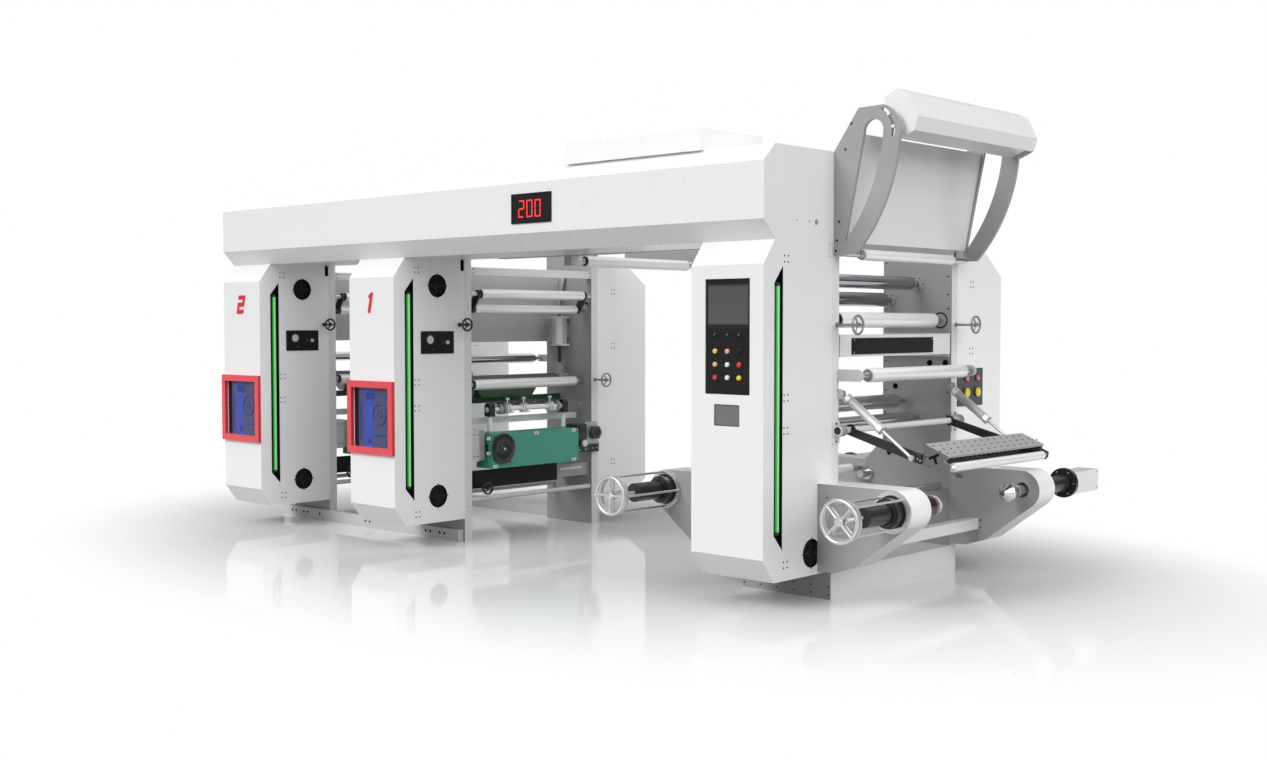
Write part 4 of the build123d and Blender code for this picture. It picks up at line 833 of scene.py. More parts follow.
# Rollers
@dataclass
class Roller:
    """A web roller between the frame plates."""

    centre: Pair
    radius: float
    finish: Finish
    face: float = 940.0
    reach: float = INNER
    band: Finish = IRON
    journal: float = 15.0
    ring: float = 9.0

    def add_to(self, piece: Piece) -> None:
        """Turn the shell, its end rings and the journals."""
        x, z = self.centre
        r = self.radius
        half = self.face / 2
        length = self.face - 2 * self.ring
        lip = min(4.0, r * 0.12)
        shell = [(r * 0.72, 0), (r - lip, 0), (r - lip * 0.3, lip * 0.3), (r, lip), (r, length - lip),
                 (r - lip * 0.3, length - lip * 0.3), (r - lip, length), (r * 0.72, length)]
        piece.lathe(shell, (x, -half + self.ring, z), BEHIND, self.finish, 48)
        end = [(0, 3.0), (r * 0.5, 3.0), (r * 0.56, 1.0), (r * 0.74, 0.4), (r - lip * 1.4, 0.0),
               (r - lip * 1.1, 1.5), (r - lip * 1.1, self.ring)]
        piece.lathe(end, (x, -half, z), BEHIND, self.band, 36)
        piece.lathe(end, (x, half, z), AHEAD, self.band, 36)
        j = self.journal
        for side in SIDES:
            piece.rod((x, side * (half - 6), z), (x, side * self.reach, z), j, STEEL, 0.8)
            piece.lathe(collar(j + 0.2, j + 6, 8, 1)[:-1], (x, side * (half + 8), z), BEHIND * side, STEEL,
                        24)


ROLLERS = {"tower_upper_roller": DARK_METAL, "tower_second_roller": DARK_METAL,
           "tower_draw_cylinder": WHITE_ROLLER, "front_guide_roller": WHITE_ROLLER,
           "top_guide_roller": WHITE_ROLLER}
UNIT_ROLLERS = {"top_roller": WHITE_ROLLER, "second_roller": WHITE_ROLLER, "exit_roller": WHITE_ROLLER,
                "impression_roller": RUBBER}
IDLE_PLACES = ((TOWER_RIGHT - 312, 955.0, 40.0, ROLLER), (TOWER_RIGHT - 217, 866.0, 31.0, ROLLER),
               (TOWER_RIGHT - 620, 545.0, 30.0, WHITE_ROLLER),
               (TOWER_RIGHT - 1895, 1768.0, 33.0, WHITE_ROLLER),
               (UNIT_RIGHTS[0] - 514, 1149.0, 33.0, ROLLER), (UNIT_RIGHTS[1] - 514, 1149.0, 33.0, ROLLER))


def build_rollers() -> None:
    """Replace every roller node by a finished roller."""
    names = dict(ROLLERS)
    for number in (1, 2):
        names.update({f"unit_{number}_{name}": finish for name, finish in UNIT_ROLLERS.items()})
    for node, finish in names.items():
        low, high = [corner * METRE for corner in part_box(node)]
        face = 880.0 if "impression" in node or node == "top_guide_roller" else 940.0
        band = GREY_METAL if "guide" in node else IRON
        piece = Piece(f"{node}_shell", finish.slot, node)
        centre = ((low.x + high.x) / 2, (low.z + high.z) / 2)
        Roller(centre, (high.x - low.x) / 2, finish, face, high.y, band).add_to(piece)
        piece.finish(node, weighted=False)
    idle = Piece("idle_roller_shells", Slot.ROLLER)
    for x, z, radius, finish in IDLE_PLACES:
        Roller((x, z), radius, finish).add_to(idle)
    for right in UNIT_RIGHTS:
        for low_y in (-INNER - 14, INNER):
            idle.box((right - 543, low_y, 1124), (right - COLUMN, low_y + 14, 1174), LIGHT_PLATE, 2.0)
    idle.finish("idle_rollers")


# Handwheels
@dataclass
class Handwheel:
    """A small handwheel on its stem, turned to the right."""

    node: str
    centre: Place
    radius: float
    stem: float
    metal: Finish = DULL_CHROME
    rim: float = 6.2
    spokes: int = 3

    def build(self) -> None:
        """Make the rim, spokes, hub and stem."""
        piece = Piece(f"{self.node}_wheel", self.metal.slot, self.node)
        place = toward(self.centre, RIGHT)
        middle = self.radius - self.rim
        piece.add(stock_ring(middle, self.rim, 56, 14), self.metal, place)
        h = self.rim * 2.1
        piece.lathe([(0, -h * 0.9), (h * 0.7, -h * 0.9), (h, -h * 0.6), (h, h * 0.5), (h * 0.75, h * 0.8),
                     (h * 0.4, h * 0.9), (h * 0.35, h * 0.6), (0, h * 0.6)],
                    self.centre, RIGHT, self.metal, 28)
        for point in around(self.spokes, 1.0, start=90.0):
            way = Vector((*point, 0))
            start = place @ (way * h * 0.8)
            bar = place @ (way * (middle - self.rim * 0.4)) - start
            piece.lathe([(0, 0), (self.rim * 0.85, 0), (self.rim * 0.6, bar.length * 0.5),
                         (self.rim * 0.8, bar.length), (0, bar.length)], start, bar, self.metal, 16)
        back = Vector(self.centre) - RIGHT * self.stem
        piece.rod(back, self.centre, 7.0, self.metal, 0.8, 20)
        piece.lathe(collar(7, 13, 10, 1)[:-1], back + RIGHT, RIGHT, self.metal, 20)
        piece.finish(self.node, weighted=False)


def build_handwheels() -> None:
    """Replace the small handwheels."""
    for place, y in (("front", -575.0), ("rear", 575.0)):
        Handwheel(f"tower_handwheel_{place}", (TOWER_RIGHT + 135, y, 1390), 52, 134.7).build()
    for number, right in enumerate(UNIT_RIGHTS, start=1):
        Handwheel(f"unit_{number}_handwheel_front", (right + 78, -645, 1389), 44, 77.7, IRON).build()
        Handwheel(f"unit_{number}_handwheel_rear", (right + 115, 575, 1006), 51, 114.7).build()


# Controls, windows and openings of the housings
def button(piece: Piece, point: Place, direction: Vector, radius: float, finish: Finish,
           height: float = 14.0) -> None:
    """Add a push button: a dark bezel ring and a domed cap."""
    rim = radius * 1.12
    piece.lathe([(radius * 0.8, 0), (rim, 0), (rim, 2.2), (rim - 1.0, 3.2), (radius * 0.8, 3.2),
                 (radius * 0.8, 0)], point, direction, GAP, 28)
    top = radius * 0.92
    piece.lathe([(0, 0), (top, 0), (top, height - 3.5), (top - 1.0, height - 1.5), (top * 0.7, height - 0.3),
                 (0, height)], point, direction, finish, 28)


def selector(piece: Piece, point: Place, direction: Vector, radius: float, turn: float = 35.0) -> None:
    """Add a selector: a bezel, a dark knob with a grip bar, and its white mark."""
    button(piece, point, direction, radius, SATIN_BLACK, 8.0)
    place = toward(point, direction) @ Matrix.Rotation(math.radians(turn), 4, "Z")
    side = radius * 0.28
    piece.box((-radius * 0.85, -side, 7), (radius * 0.85, side, 14), SATIN_BLACK, 1.4, place)
    piece.box((-1.0, -1.0, 13.9), (radius * 0.7, 1.0, 14.3), PALE_LENS, 0.1, place)


@dataclass
class HousingOpenings:
    """Vents, light slot, guide slot and screws in the right side of a front housing."""

    name: str
    right: float
    vents: tuple[Pair, ...]
    screw_rows: tuple[float, ...]
    vent_radius: float = 71.8
    vent_depth: float = 17.9
    slot_outline: Outline = ((-1078, 376), (-1012, 300), (-1012, 1675), (-1078, 1593))
    slot_depth: float = 24.9
    screw_y: float = -985.0
    pitch: float = 15.0

    def build(self) -> None:
        """Line each opening in near-black painted shade and set the screws."""
        piece = Piece(f"{self.name}_openings", Slot.IRON)
        piece.tray(self.slot_outline, self.slot_depth + 0.5, 1.5, 0.5, HOLE_SHADE,
                   on_side(self.right - self.slot_depth))
        piece.tray(outline_box((-632.9, 1730.1), (-605.1, 1799.9)), 20.3, 1.2, 4.0, HOLE_SHADE,
                   on_side(self.right - 19.9))
        for vent in self.vents:
            self._vent(piece, (self.right - self.vent_depth, *vent))
        piece.screws([(self.right, self.screw_y + dy * self.pitch, row + dz * self.pitch)
                      for row in self.screw_rows for dy in SIDES for dz in SIDES], RIGHT, 4.6, 1.6)
        piece.finish()

    def _vent(self, piece: Piece, back: Place) -> None:
        """Add a vent's cup in near-black painted shade, its guard rings and spokes, and four clips at its
        rim.
        """
        r = self.vent_radius
        place = toward(back, RIGHT)
        piece.lathe([(0, 0.2), (r, 0.2), (r, 18.4), (r - 1.2, 18.4), (r - 1.6, 17.6), (r - 1.6, 1.2),
                     (0, 1.2)], back, RIGHT, HOLE_SHADE, 48)
        piece.lathe([(0, 1), (20, 1), (21, 3), (21, 9), (18, 11), (0, 11.5)], back, RIGHT, SATIN_BLACK)
        for ring in (28.0, 42.0, 56.0):
            piece.add(stock_ring(ring, 1.3, 48, 6), IRON, place @ Matrix.Translation((0, 0, 12.5)))
        for turn in range(4):
            way = place @ Matrix.Rotation(math.radians(90 * turn), 4, "Z")
            piece.box((18, -1.6, 10.6), (r - 1.0, 1.6, 12.2), IRON, 0.4, way)
            piece.box((r - 3, -3, 17.9), (r + 9, 3, 19.6), IRON, 0.5, way)


@dataclass
class LightTubes:
    """The lit green tubes in the slots of the housings."""

    low: float = 376.0
    high: float = 1593.0
    y: float = -1045.0
    sunk: float = 11.0
    radius: float = 13.9

    def build(self) -> None:
        """Make the tubes, brightest along their middle, with end holders."""
        piece = Piece("light_tubes", Slot.LIGHT)
        places = [(right - self.sunk, self.y) for right in (TOWER_RIGHT, *UNIT_RIGHTS)]
        piece.add(stock_rod(self.radius, self.high - self.low, 7.0, 36), self._band,
                  *[Matrix.Translation((*place, self.low)) for place in places])
        for place in places:
            for z in (self.low + 2, self.high - 16):
                piece.disc(self.radius + 1.6, 14, (*place, z), UPWARD, GAP, 28)
        piece.finish("light_strips", weighted=False)

    @staticmethod
    def _band(face: Face) -> Finish:
        """Return the finish of a face of the tube by the way it points."""
        if face.normal.x > 0.82:
            return LAMP
        return LAMP_SIDE if face.normal.x > 0.4 else LAMP_EDGE


@dataclass
class ControlPanel:
    """The tower's control panel, the small window under it and the speed display."""

    low: Pair = (-76, 1054)
    high: Pair = (201, 1613)
    face: float = -1154.0
    columns: tuple[float, ...] = (-14, 63, 136)
    rows: tuple[tuple[float, tuple[Finish, ...]], ...] = (
        (1263, (YELLOW_CAP, PEACH_CAP, SATIN_BLACK)), (1198, (PEACH_CAP, WHITE_CAP, RED_CAP)),
        (1135, (RED_CAP, WHITE_CAP, YELLOW_CAP)))
    cap: float = 13.0

    def build(self) -> None:
        """Make the panel with its screen, selectors and buttons."""
        piece = Piece("control_panel_front", Slot.PANEL)
        front = on_front(self.face)
        piece.slab(self.low, self.high, 6.0, SATIN_BLACK, on_front(self.face + 6))
        piece.tray(outline_box(self.low, self.high), 2.4, 5.0, 0.8, SATIN_BLACK, front)
        piece.slab((-66, 1388), (194, 1587), 3.0, GAP, front, 0.8)
        piece.slab((-58, 1396), (186, 1579), 3.6, SCREEN, front, 0.6)
        piece.slab((-58, 1376), (186, 1378), 1.0, GAP, front, 0.2)
        for x in self.columns:
            selector(piece, (x, self.face, 1341), AHEAD, self.cap)
        for z, caps in self.rows:
            for x, finish in zip(self.columns, caps):
                button(piece, (x, self.face, z), AHEAD, self.cap, finish)
        piece.screws([(x, self.face - 0.7, z) for x in (-70, 195) for z in (1060, 1607)], AHEAD, 2.6, 1.4)
        small = ((-18, 900), (139, 1003))
        piece.slab(*small, 4.0, WINDOW_GREY, front, 0.6)
        piece.tray(outline_box(*small), 2.0, 3.0, 0.4, SATIN_BLACK, on_front(self.face - 3.2))
        self._display(piece)
        piece.finish("control_panel")

    @staticmethod
    def _display(piece: Piece) -> None:
        """Add the speed display with its three lit digits."""
        low, high = (-1483, 1948), (-1164, 2112)
        piece.slab(low, high, 4.0, DISPLAY, on_front(HOUSING_FACE), 1.2)
        piece.tray(outline_box(low, high), 2.4, 7.0, 0.5, SATIN_BLACK, on_front(HOUSING_FACE - 3.8))
        for number, digit in enumerate("200"):
            left = -1426 + 66 * number
            for low, high in seven_bars(digit, 48, 96, 8):
                piece.slab((left + low[0], 1980 + low[1]), (left + high[0], 1980 + high[1]), 0.8, DIGIT,
                           on_front(HOUSING_FACE - 4.2), 0.3)


def seven_bars(digit: str, width: float, height: float, bar: float) -> list[tuple[Place, Place]]:
    """Return the low and high corner of each lit bar of a digit, 0 or 2, of a seven-bar display."""
    middle = height / 2
    half = bar / 2
    bars = {
        "a": ((bar, height - bar), (width - bar, height)),
        "b": ((width - bar, middle + 1), (width, height - 1)),
        "c": ((width - bar, 1), (width, middle - 1)), "d": ((bar, 0), (width - bar, bar)),
        "e": ((0, 1), (bar, middle - 1)), "f": ((0, middle + 1), (bar, height - 1)),
        "g": ((bar, middle - half), (width - bar, middle + half)),
    }
    lit = {"0": "abcdef", "2": "abged"}
    return [bars[name] for name in lit[digit]]


class SidePanels:
    """The small panel on each unit's side and the button panel of the rear cabinet."""

    def build(self) -> None:
        """Make the three panels."""
        piece = Piece("side_panel_fronts", Slot.PANEL)
        for right in UNIT_RIGHTS:
            self._panel(piece, right, (-955, 1208), (-694, 1349), SATIN_BLACK)
            dial = (right + 6, -888, 1296)
            piece.lathe([(24, 0), (33, 0), (33, 5), (31, 7), (28, 7), (24, 5), (24, 0)], dial, RIGHT, GAP, 36)
            piece.lathe([(0, 0), (29, 0), (29, 5.5), (0, 6.5)], dial, RIGHT, PALE_LENS, 36)
            piece.box((-1, -1, 6.4), (15, 1, 6.9), GAP, 0.1,
                      toward(dial, RIGHT) @ Matrix.Rotation(2.1, 4, "Z"))
            selector(piece, (right + 6, -874, 1238), RIGHT, 11, 50)
            selector(piece, (right + 6, -795, 1278), RIGHT, 12, 90)
            button(piece, (right + 6, -751, 1278), RIGHT, 14, ROSE_LENS)
        self._panel(piece, TOWER_RIGHT, (608, 928), (885, 1142), DARK_PLATE)
        mushroom = [(0, 0), (17, 0), (17, 3), (14, 4), (13, 7), (23, 8), (26.5, 10), (26, 13), (20, 14),
                    (0, 14)]
        for y in (697, 816):
            button(piece, (TOWER_RIGHT + 6, y, 1086), RIGHT, 17, PINK_CAP)
            piece.lathe(mushroom, (TOWER_RIGHT + 6, y, 1005), RIGHT, YELLOW_CAP, 36)
        piece.finish("side_panels")

    @staticmethod
    def _panel(piece: Piece, right: float, low: Place, high: Place, finish: Finish) -> None:
        """Add a panel's plate and its corner screws."""
        piece.slab(low, high, 6.0, finish, on_side(right), 1.2, 4.0)
        piece.screws([(right + 6, y, z) for y in (low[0] + 9, high[0] - 9)
                      for z in (low[1] + 9, high[1] - 9)], RIGHT, 3.0, 1.5)


@dataclass
class Windows:
    """What shows through the red framed windows of the units."""

    low: float = 629.0
    high: float = 999.0
    face: float = -1152.0
    inset: float = 38.0

    def build(self) -> None:
        """Make the panes with their dark side, the blue band, the grey field and faint machine shapes."""
        piece = Piece("tinted_panes", Slot.GLASS)
        front = on_front(self.face - 3.9)
        for right in UNIT_RIGHTS:
            x = right - COLUMN + self.inset
            piece.slab((x, self.low), (right - self.inset, self.high), 3.4, PANE_GREY,
                       on_front(self.face), 0.3)
            for start, stop, finish in ((0, 46, PANE_DARK), (104, 192, PANE)):
                piece.slab((x + start, self.low), (x + stop, self.high), 0.5, finish,
                           on_front(self.face - 3.4), 0.1)
            piece.tray(outline_box((x + 118, 925), (x + 208, 968)), 0.3, 7.0, 0.1, PANE_LINE, front)
            middle = toward((x + 258, self.face - 3.2, 832), AHEAD)
            piece.add(stock_ring(64, 4.0, 48, 6), PANE_LINE, middle)
            piece.add(stock_ring(22, 3.0, 32, 6), PANE_LINE, middle)
            for start, low, stop, high in ((58, 660, 76, 905), (196, 700, 330, 708), (140, 650, 176, 690)):
                piece.slab((x + start, low), (x + stop, high), 0.3, PANE_LINE, front, 0.1)
        piece.finish("unit_panes")


@dataclass
class Numerals:
    """The station numbers on the units' fronts."""

    height: float = 128.0
    width: float = 88.0
    bar: float = 30.0
    lean: float = 0.24
    z: float = 1526.0

    def build(self) -> None:
        """Make both leaning numerals."""
        piece = Piece("station_numbers", Slot.RED)
        w, h, t = self.width, self.height, self.bar
        two = [(0, 0), (w, 0), (w, t), (t, t), (t, (h - t) / 2), (w, (h - t) / 2), (w, h), (0, h), (0, h - t),
               (w - t, h - t), (w - t, (h + t) / 2), (0, (h + t) / 2)]
        one = [(24, 0), (24 + t, 0), (24 + t, h), (30, h), (8, h - 20), (8, h - 38), (24, h - 32)]
        for x, outline in ((-4261.0, two), (-2783.0, one)):
            slanted = [(x - w / 2 + px + (py - h / 2) * self.lean, self.z - h / 2 + py) for px, py in outline]
            piece.prism(slanted, 1.2, NUMERAL, on_front(HOUSING_FACE), 0.3, 5.0)
        piece.finish()


# The insides of the units
@dataclass
class DriveBoxes:
    """The teal box of each unit, with its bracket, wheel, clamp and knobs."""

    low: Pair = (-422.0, 458.0)
    high: Pair = (360.0, 683.0)
    front: float = 60.0
    wheel: tuple[float, float, float] = (-344.0, 586.0, 98.0)

    def build(self) -> None:
        """Make both boxes."""
        piece = Piece("drive_box_set", Slot.TEAL)
        for right in UNIT_RIGHTS:
            self._box(piece, right)
            self._bracket(piece, right)
            self._wheel(piece, right + self.front)
            self._clamp(piece, right)
        piece.finish("drive_boxes")

    def _box(self, piece: Piece, right: float) -> None:
        """Add the box with its lid seam, its tabs and the rods beside it."""
        face = right + self.front
        piece.box((right - 100, *self.low), (face, self.high[0], self.high[1] - 9), TEAL, 3.0)
        piece.box((right - 100, self.low[0] + 3, self.high[1] - 10),
                  (face - 3, self.high[0] - 3, self.high[1]), TEAL, 2.0)
        for y, low_z in ((-36, 659), (312, 659), (-398, 460), (312, 460)):
            piece.box((face - 1, y - 19, low_z), (face + 5, y + 19, low_z + 22), PALE_PLASTIC, 1.4)
            piece.screws([(face + 5, y, low_z + 11)], RIGHT, 4.0, 2.4)
        for z in (558, 653):
            piece.rod((right + 38, -446, z), (right + 38, -420, z), 12.5, PALE_PLASTIC, 3.0)
            piece.lathe(collar(9, 16, 4), (right + 38, -424, z), AHEAD, STEEL, 24)
        piece.screws([(face, y, z) for y in (-404, 344) for z in (560, 662)], RIGHT, 4.2, 2.6)

    @staticmethod
    def _bracket(piece: Piece, right: float) -> None:
        """Add the two-tone bracket between the front plate and the box."""
        piece.box((right - 60, -545, 508), (right + 5, -484, 713), LIGHT_PLATE, 2.5)
        piece.box((right - 54, -486, 514), (right + 10, -444, 707), PLATE, 2.0)
        piece.screws([(right + 5, y, z) for y in (-530, -500) for z in (540, 680)], RIGHT, 4.2, 2.6)
        piece.screws([(right + 10, -464, z) for z in (530, 604, 690)], RIGHT, 3.4, 2.0, ZINC)
        piece.box((right - 30, -446, 562), (right + 20, -420, 618), IRON, 1.5)

    def _wheel(self, piece: Piece, face: float) -> None:
        """Add the black conical wheel with its pale centre."""
        y, z, r = self.wheel
        piece.lathe([(0, 0), (24, 0), (24, 13), (r - 8, 12), (r - 1, 14), (r, 17), (r, 24), (r - 2, 26.5),
                     (r - 16, 29), (r - 27, 32), (r - 30, 31), (r - 34, 26), (42, 20), (34, 20), (28, 23),
                     (18, 30), (0, 31.5)], (face, y, z), RIGHT, BLACK, 64)
        piece.lathe([(0, 0), (8, 0), (8, 2.4), (6.5, 3.4), (0, 3.6)], (face + 30.5, y, z), RIGHT,
                    PALE_PLASTIC, 24)
        for spot in around(3, 36, (y, z), 30.0):
            piece.screws([(face + 20.5, *spot)], RIGHT, 4.0, 2.4)
        piece.box((face + 13, y + 44, z - 96), (face + 20, y + 66, z - 78), BLACK, 2.0)

    @staticmethod
    def _clamp(piece: Piece, right: float) -> None:
        """Add the black end block, the clamp plate with its hexagonal boss, and the knob."""
        piece.box((right - 60, 359, 514), (right + 50, 450, 706), BLACK, 3.0)
        piece.box((right + 30, 372, 640), (right + 58, 436, 694), IRON, 2.0)
        piece.screws([(right + 50, y, 530) for y in (376, 434)], RIGHT, 5.0, 3.0, ZINC)
        plate = [(450, 520), (466, 505), (584, 505), (600, 521), (600, 570), (588, 582), (588, 690),
                 (570, 715), (470, 715), (450, 696)]
        piece.prism(plate, 20, GREY_METAL, on_side(right), 2.0)
        piece.box((right + 16, 452, 506), (right + 32, 586, 560), IRON, 2.0)
        piece.screws([(right + 32, y, 533) for y in (474, 520, 566)], RIGHT, 4.6, 2.8, ZINC)
        piece.prism(around(6, 50, (545, 640)), 36, DARK_PLATE, on_side(right + 20), 4.0)
        piece.lathe([(0, 0), (30, 0), (30, 3), (27, 4.4), (21, 4.4), (19, 1.0), (0, 1.0)],
                    (right + 56, 545, 640), RIGHT, IRON, 36)
        piece.lathe([(0, 0), (9, 0), (9, 18), (23, 20), (24, 22), (24, 33), (22, 36), (0, 36)],
                    (right + 50, 400, 575), RIGHT, ALUMINIUM)
        piece.lathe([(0, 0), (13, 0), (12, 1.4), (0, 1.4)], (right + 85.4, 400, 575), RIGHT, PALE_PLASTIC, 24)


class DoctorBlades:
    """The blade holder over each teal box."""

    def build(self) -> None:
        """Make both holders."""
        piece = Piece("doctor_blade_set", Slot.STEEL)
        for right in UNIT_RIGHTS:
            x, z = right - 67.0, 832.0
            piece.rod((x, -360, z), (x, 360, z), 14, PAINTED_LIGHT_WHITE, 2.0, 32)
            for y in (-333, 333):
                self._bearing(piece, x, y, z)
            for y in (-258, -222, 268):
                piece.lathe(collar(14, 34, 18, 3), (x, y, z), BEHIND, GREY_METAL, 40)
            for y in (-180, -36, 205):
                self._clamp(piece, x, y, z)
            piece.box((right - 106, -300, 856), (right - 92, 300, 884), DARK_PLATE, 1.5)
            piece.box((right - 108, -300, 846), (right - 104, 300, 872), GREY_METAL, 0.6)
            piece.screws([(right - 92, y, 870) for y in range(-270, 271, 90)], RIGHT, 4.0, 2.6, ZINC)
            for y in (-285, 285):
                piece.box((right - 100, y - 9, 826), (right - 60, y + 9, 868), GREY_METAL, 2.0)
        piece.finish("doctor_blades")

    @staticmethod
    def _bearing(piece: Piece, x: float, y: float, z: float) -> None:
        """Add a black bearing with a rounded top on its white post."""
        arch = [(x - 30, z - 45), (x + 30, z - 45), (x + 30, z + 18), (x + 24, z + 34), (x + 12, z + 44),
                (x - 12, z + 44), (x - 24, z + 34), (x - 30, z + 18)]
        piece.prism(arch, 44, BLACK, on_front(y + 22), 2.0)
        piece.lathe(collar(15, 21, 2.0), (x, y - 22, z), AHEAD, STEEL, 28)
        piece.screws([(x + 30, y + dy, z - 30) for dy in (-12, 12)], RIGHT, 4.0, 2.6)
        piece.rod((x, y, 683), (x, y, z - 44), 16, PAINTED_LIGHT_WHITE, 1.5, 28)
        piece.lathe([(15.5, 0), (24, 0), (24, 5), (21, 8), (15.5, 8), (15.5, 0)], (x, y, 683), UPWARD, STEEL)

    @staticmethod
    def _clamp(piece: Piece, x: float, y: float, z: float) -> None:
        """Add a pale clamp block with a knob above and one ahead."""
        piece.box((x - 24, y - 17, z - 29), (x + 26, y + 17, z + 29), PAINTED_LIGHT_WHITE, 4.0)
        piece.box((x - 30, y - 5, z - 26), (x + 30, y + 5, z + 36), ALUMINIUM, 2.0)
        piece.rod((x, y, z + 30), (x, y, z + 62), 6, CHROME, 1.0, 20)
        piece.lathe([(0, 0), (13, 0), (17, 3), (17, 12), (13, 16), (7, 18), (0, 18)], (x, y, z + 58), UPWARD,
                    CHROME, 28)
        piece.rod((x + 26, y, z - 12), (x + 48, y, z - 12), 5, CHROME, 1.0, 20)
        piece.lathe([(0, 0), (10, 0), (13, 3), (13, 10), (10, 13), (0, 13)], (x + 44, y, z - 12), RIGHT,
                    CHROME, 28)


class ImpressionCylinders:
    """The air cylinders that press the impression rollers down."""

    def build(self) -> None:
        """Make the four cylinders with their mounts."""
        piece = Piece("impression_cylinder_set", Slot.ROLLER)
        for right in UNIT_RIGHTS:
            for side in SIDES:
                self._cylinder(piece, right - 260.0, side)
        piece.finish("impression_cylinders")

    @staticmethod
    def _cylinder(piece: Piece, x: float, side: int) -> None:
        """Add one cylinder, from its cap down to the sliding block."""
        y = side * 488.0
        plate = side * INNER
        piece.prism(around(8, 55, (x, y), 22.5), 179, ALUMINIUM, Matrix.Translation((0, 0, 1254)), 2.0)
        for z, face, way in ((1240, 1240, DOWNWARD), (1433, 1447, UPWARD)):
            piece.box((x - 50, y - 50, z), (x + 50, y + 50, z + 14), PALE_PLASTIC, 2.0)
            for dx in (-38, 38):
                for dy in (-38, 38):
                    piece.screws([(x + dx, y + dy, face)], way, 6.0, 4.0)
        for dx in (-30, 30):
            piece.rod((x + dx, y, 1444), (x + dx, y, 1460), 7, BRIGHT, 1.0, 16)
        piece.box((x - 40, min(y, plate), 1300), (x + 40, max(y, plate), 1400), GREY_METAL, 2.0)
        piece.rod((x, y, 1120), (x, y, 1242), 12, IRON)
        piece.lathe(collar(12, 24, 8), (x, y, 1232), UPWARD, IRON, 28)
        piece.box((x - 24, y - 20, 1046), (x + 24, y + 20, 1122), GREY_METAL, 3.0)
        piece.rod((x - 34, y, 1078), (x + 34, y, 1078), 9, BRIGHT, 2.0, 20)
        piece.box((x - 40, min(side * 450, plate), 973), (x + 40, max(side * 450, plate), 1045), PLATE, 3.0)
        piece.screws([(x + dx, y, 1045) for dx in (-30, 30)], UPWARD, 7.0, 5.0, ZINC)
        piece.screws([(x + 40, y + dy, z) for dy in (-22, 22) for z in (988, 1030)], RIGHT, 4.0, 2.4, ZINC)


class UnitFastenings:
    """Screws on the plates, rails and bars of the units, and the holes under them as flat discs of painted
    shade.
    """

    def build(self) -> None:
        """Set the screws, and the bolt holes as discs of painted shade."""
        piece = Piece("unit_fastenings", Slot.IRON)
        inner = INNER - 0.3
        for right in UNIT_RIGHTS:
            foot = [(right - dx, inner, z) for dx in (383, 294, 162, 69) for z in (155, 244)]
            single = [(right - 92, inner, 1184), (right - 110, inner, 838), (right - 60, inner, 742)]
            piece.screws(foot + single, AHEAD, 6.5, 2.6, ZINC)
            piece.screws([(right - 12, inner, z) for z in range(420, 1700, 160)], AHEAD, 3.6, 2.0)
            piece.screws([(x, -y, z) for x, y, z in foot], BEHIND, 6.5, 2.6, ZINC)
            piece.screws([(right, -575, z) for z in (222, 700, 1040, 1500)], RIGHT, 3.0, 1.4)
            piece.screws([(right, 575, z) for z in (300, 560, 800, 1240, 1520)], RIGHT, 3.0, 1.4)
            piece.screws([(right - 30, y, z) for y in (-520, 215) for z in (350, 424)], RIGHT, 4.5, 2.6)
            piece.screws([(right - 2, y, z) for y in (-530, 530) for z in (1718, 1745)], RIGHT, 4.0, 2.4)
            piece.box((right - 31, 241, 345), (right - 29.2, 544, 430), PLATE, 0.5)
            piece.box((right - 30.5, 262, 392), (right - 24, 470, 408), PALE_PLASTIC, 1.5)
        for x in (-4440, -4393, -4296, -4249, -4100, -3560, -3513, -2906, -2859, -2762, -2715):
            piece.disc(9, 0.8, (x, -645, 44), AHEAD, HOLE_SHADE)
        piece.finish()


def unit_bar_dress(low: Vector, high: Vector) -> FaceFinish:
    """Return the finish of one solid of a unit's bars, or what dresses its faces."""
    middle = (low + high) / 2
    if high.y - low.y < 200:
        return BLACK if middle.z > 1480 else IRON
    if middle.z > 700:
        return SIDE_WHITE
    if middle.z < 300:
        return PALE_PLASTIC
    return lambda face: SATIN_BLACK if face.calc_center_median().y < 239 else PLATE


def tower_bar_dress(low: Vector, high: Vector) -> FaceFinish:
    """Return the finish of one solid of the tower's bars, or what dresses its faces."""
    middle = (low + high) / 2
    if high.y - low.y > 1000:
        if middle.z > 1200:
            return lambda face: SATIN_BLACK if face.calc_center_median().x > TOWER_RIGHT - 1.8 else SIDE_WHITE
        return SIDE_WHITE if middle.z < 320 else ROLLER
    if high.x < TOWER_RIGHT + 1:
        return LIGHT_PLATE if middle.z > 1200 else STEEL
    return SIDE_WHITE if 780 < low.z < 800 else LIGHT_PLATE


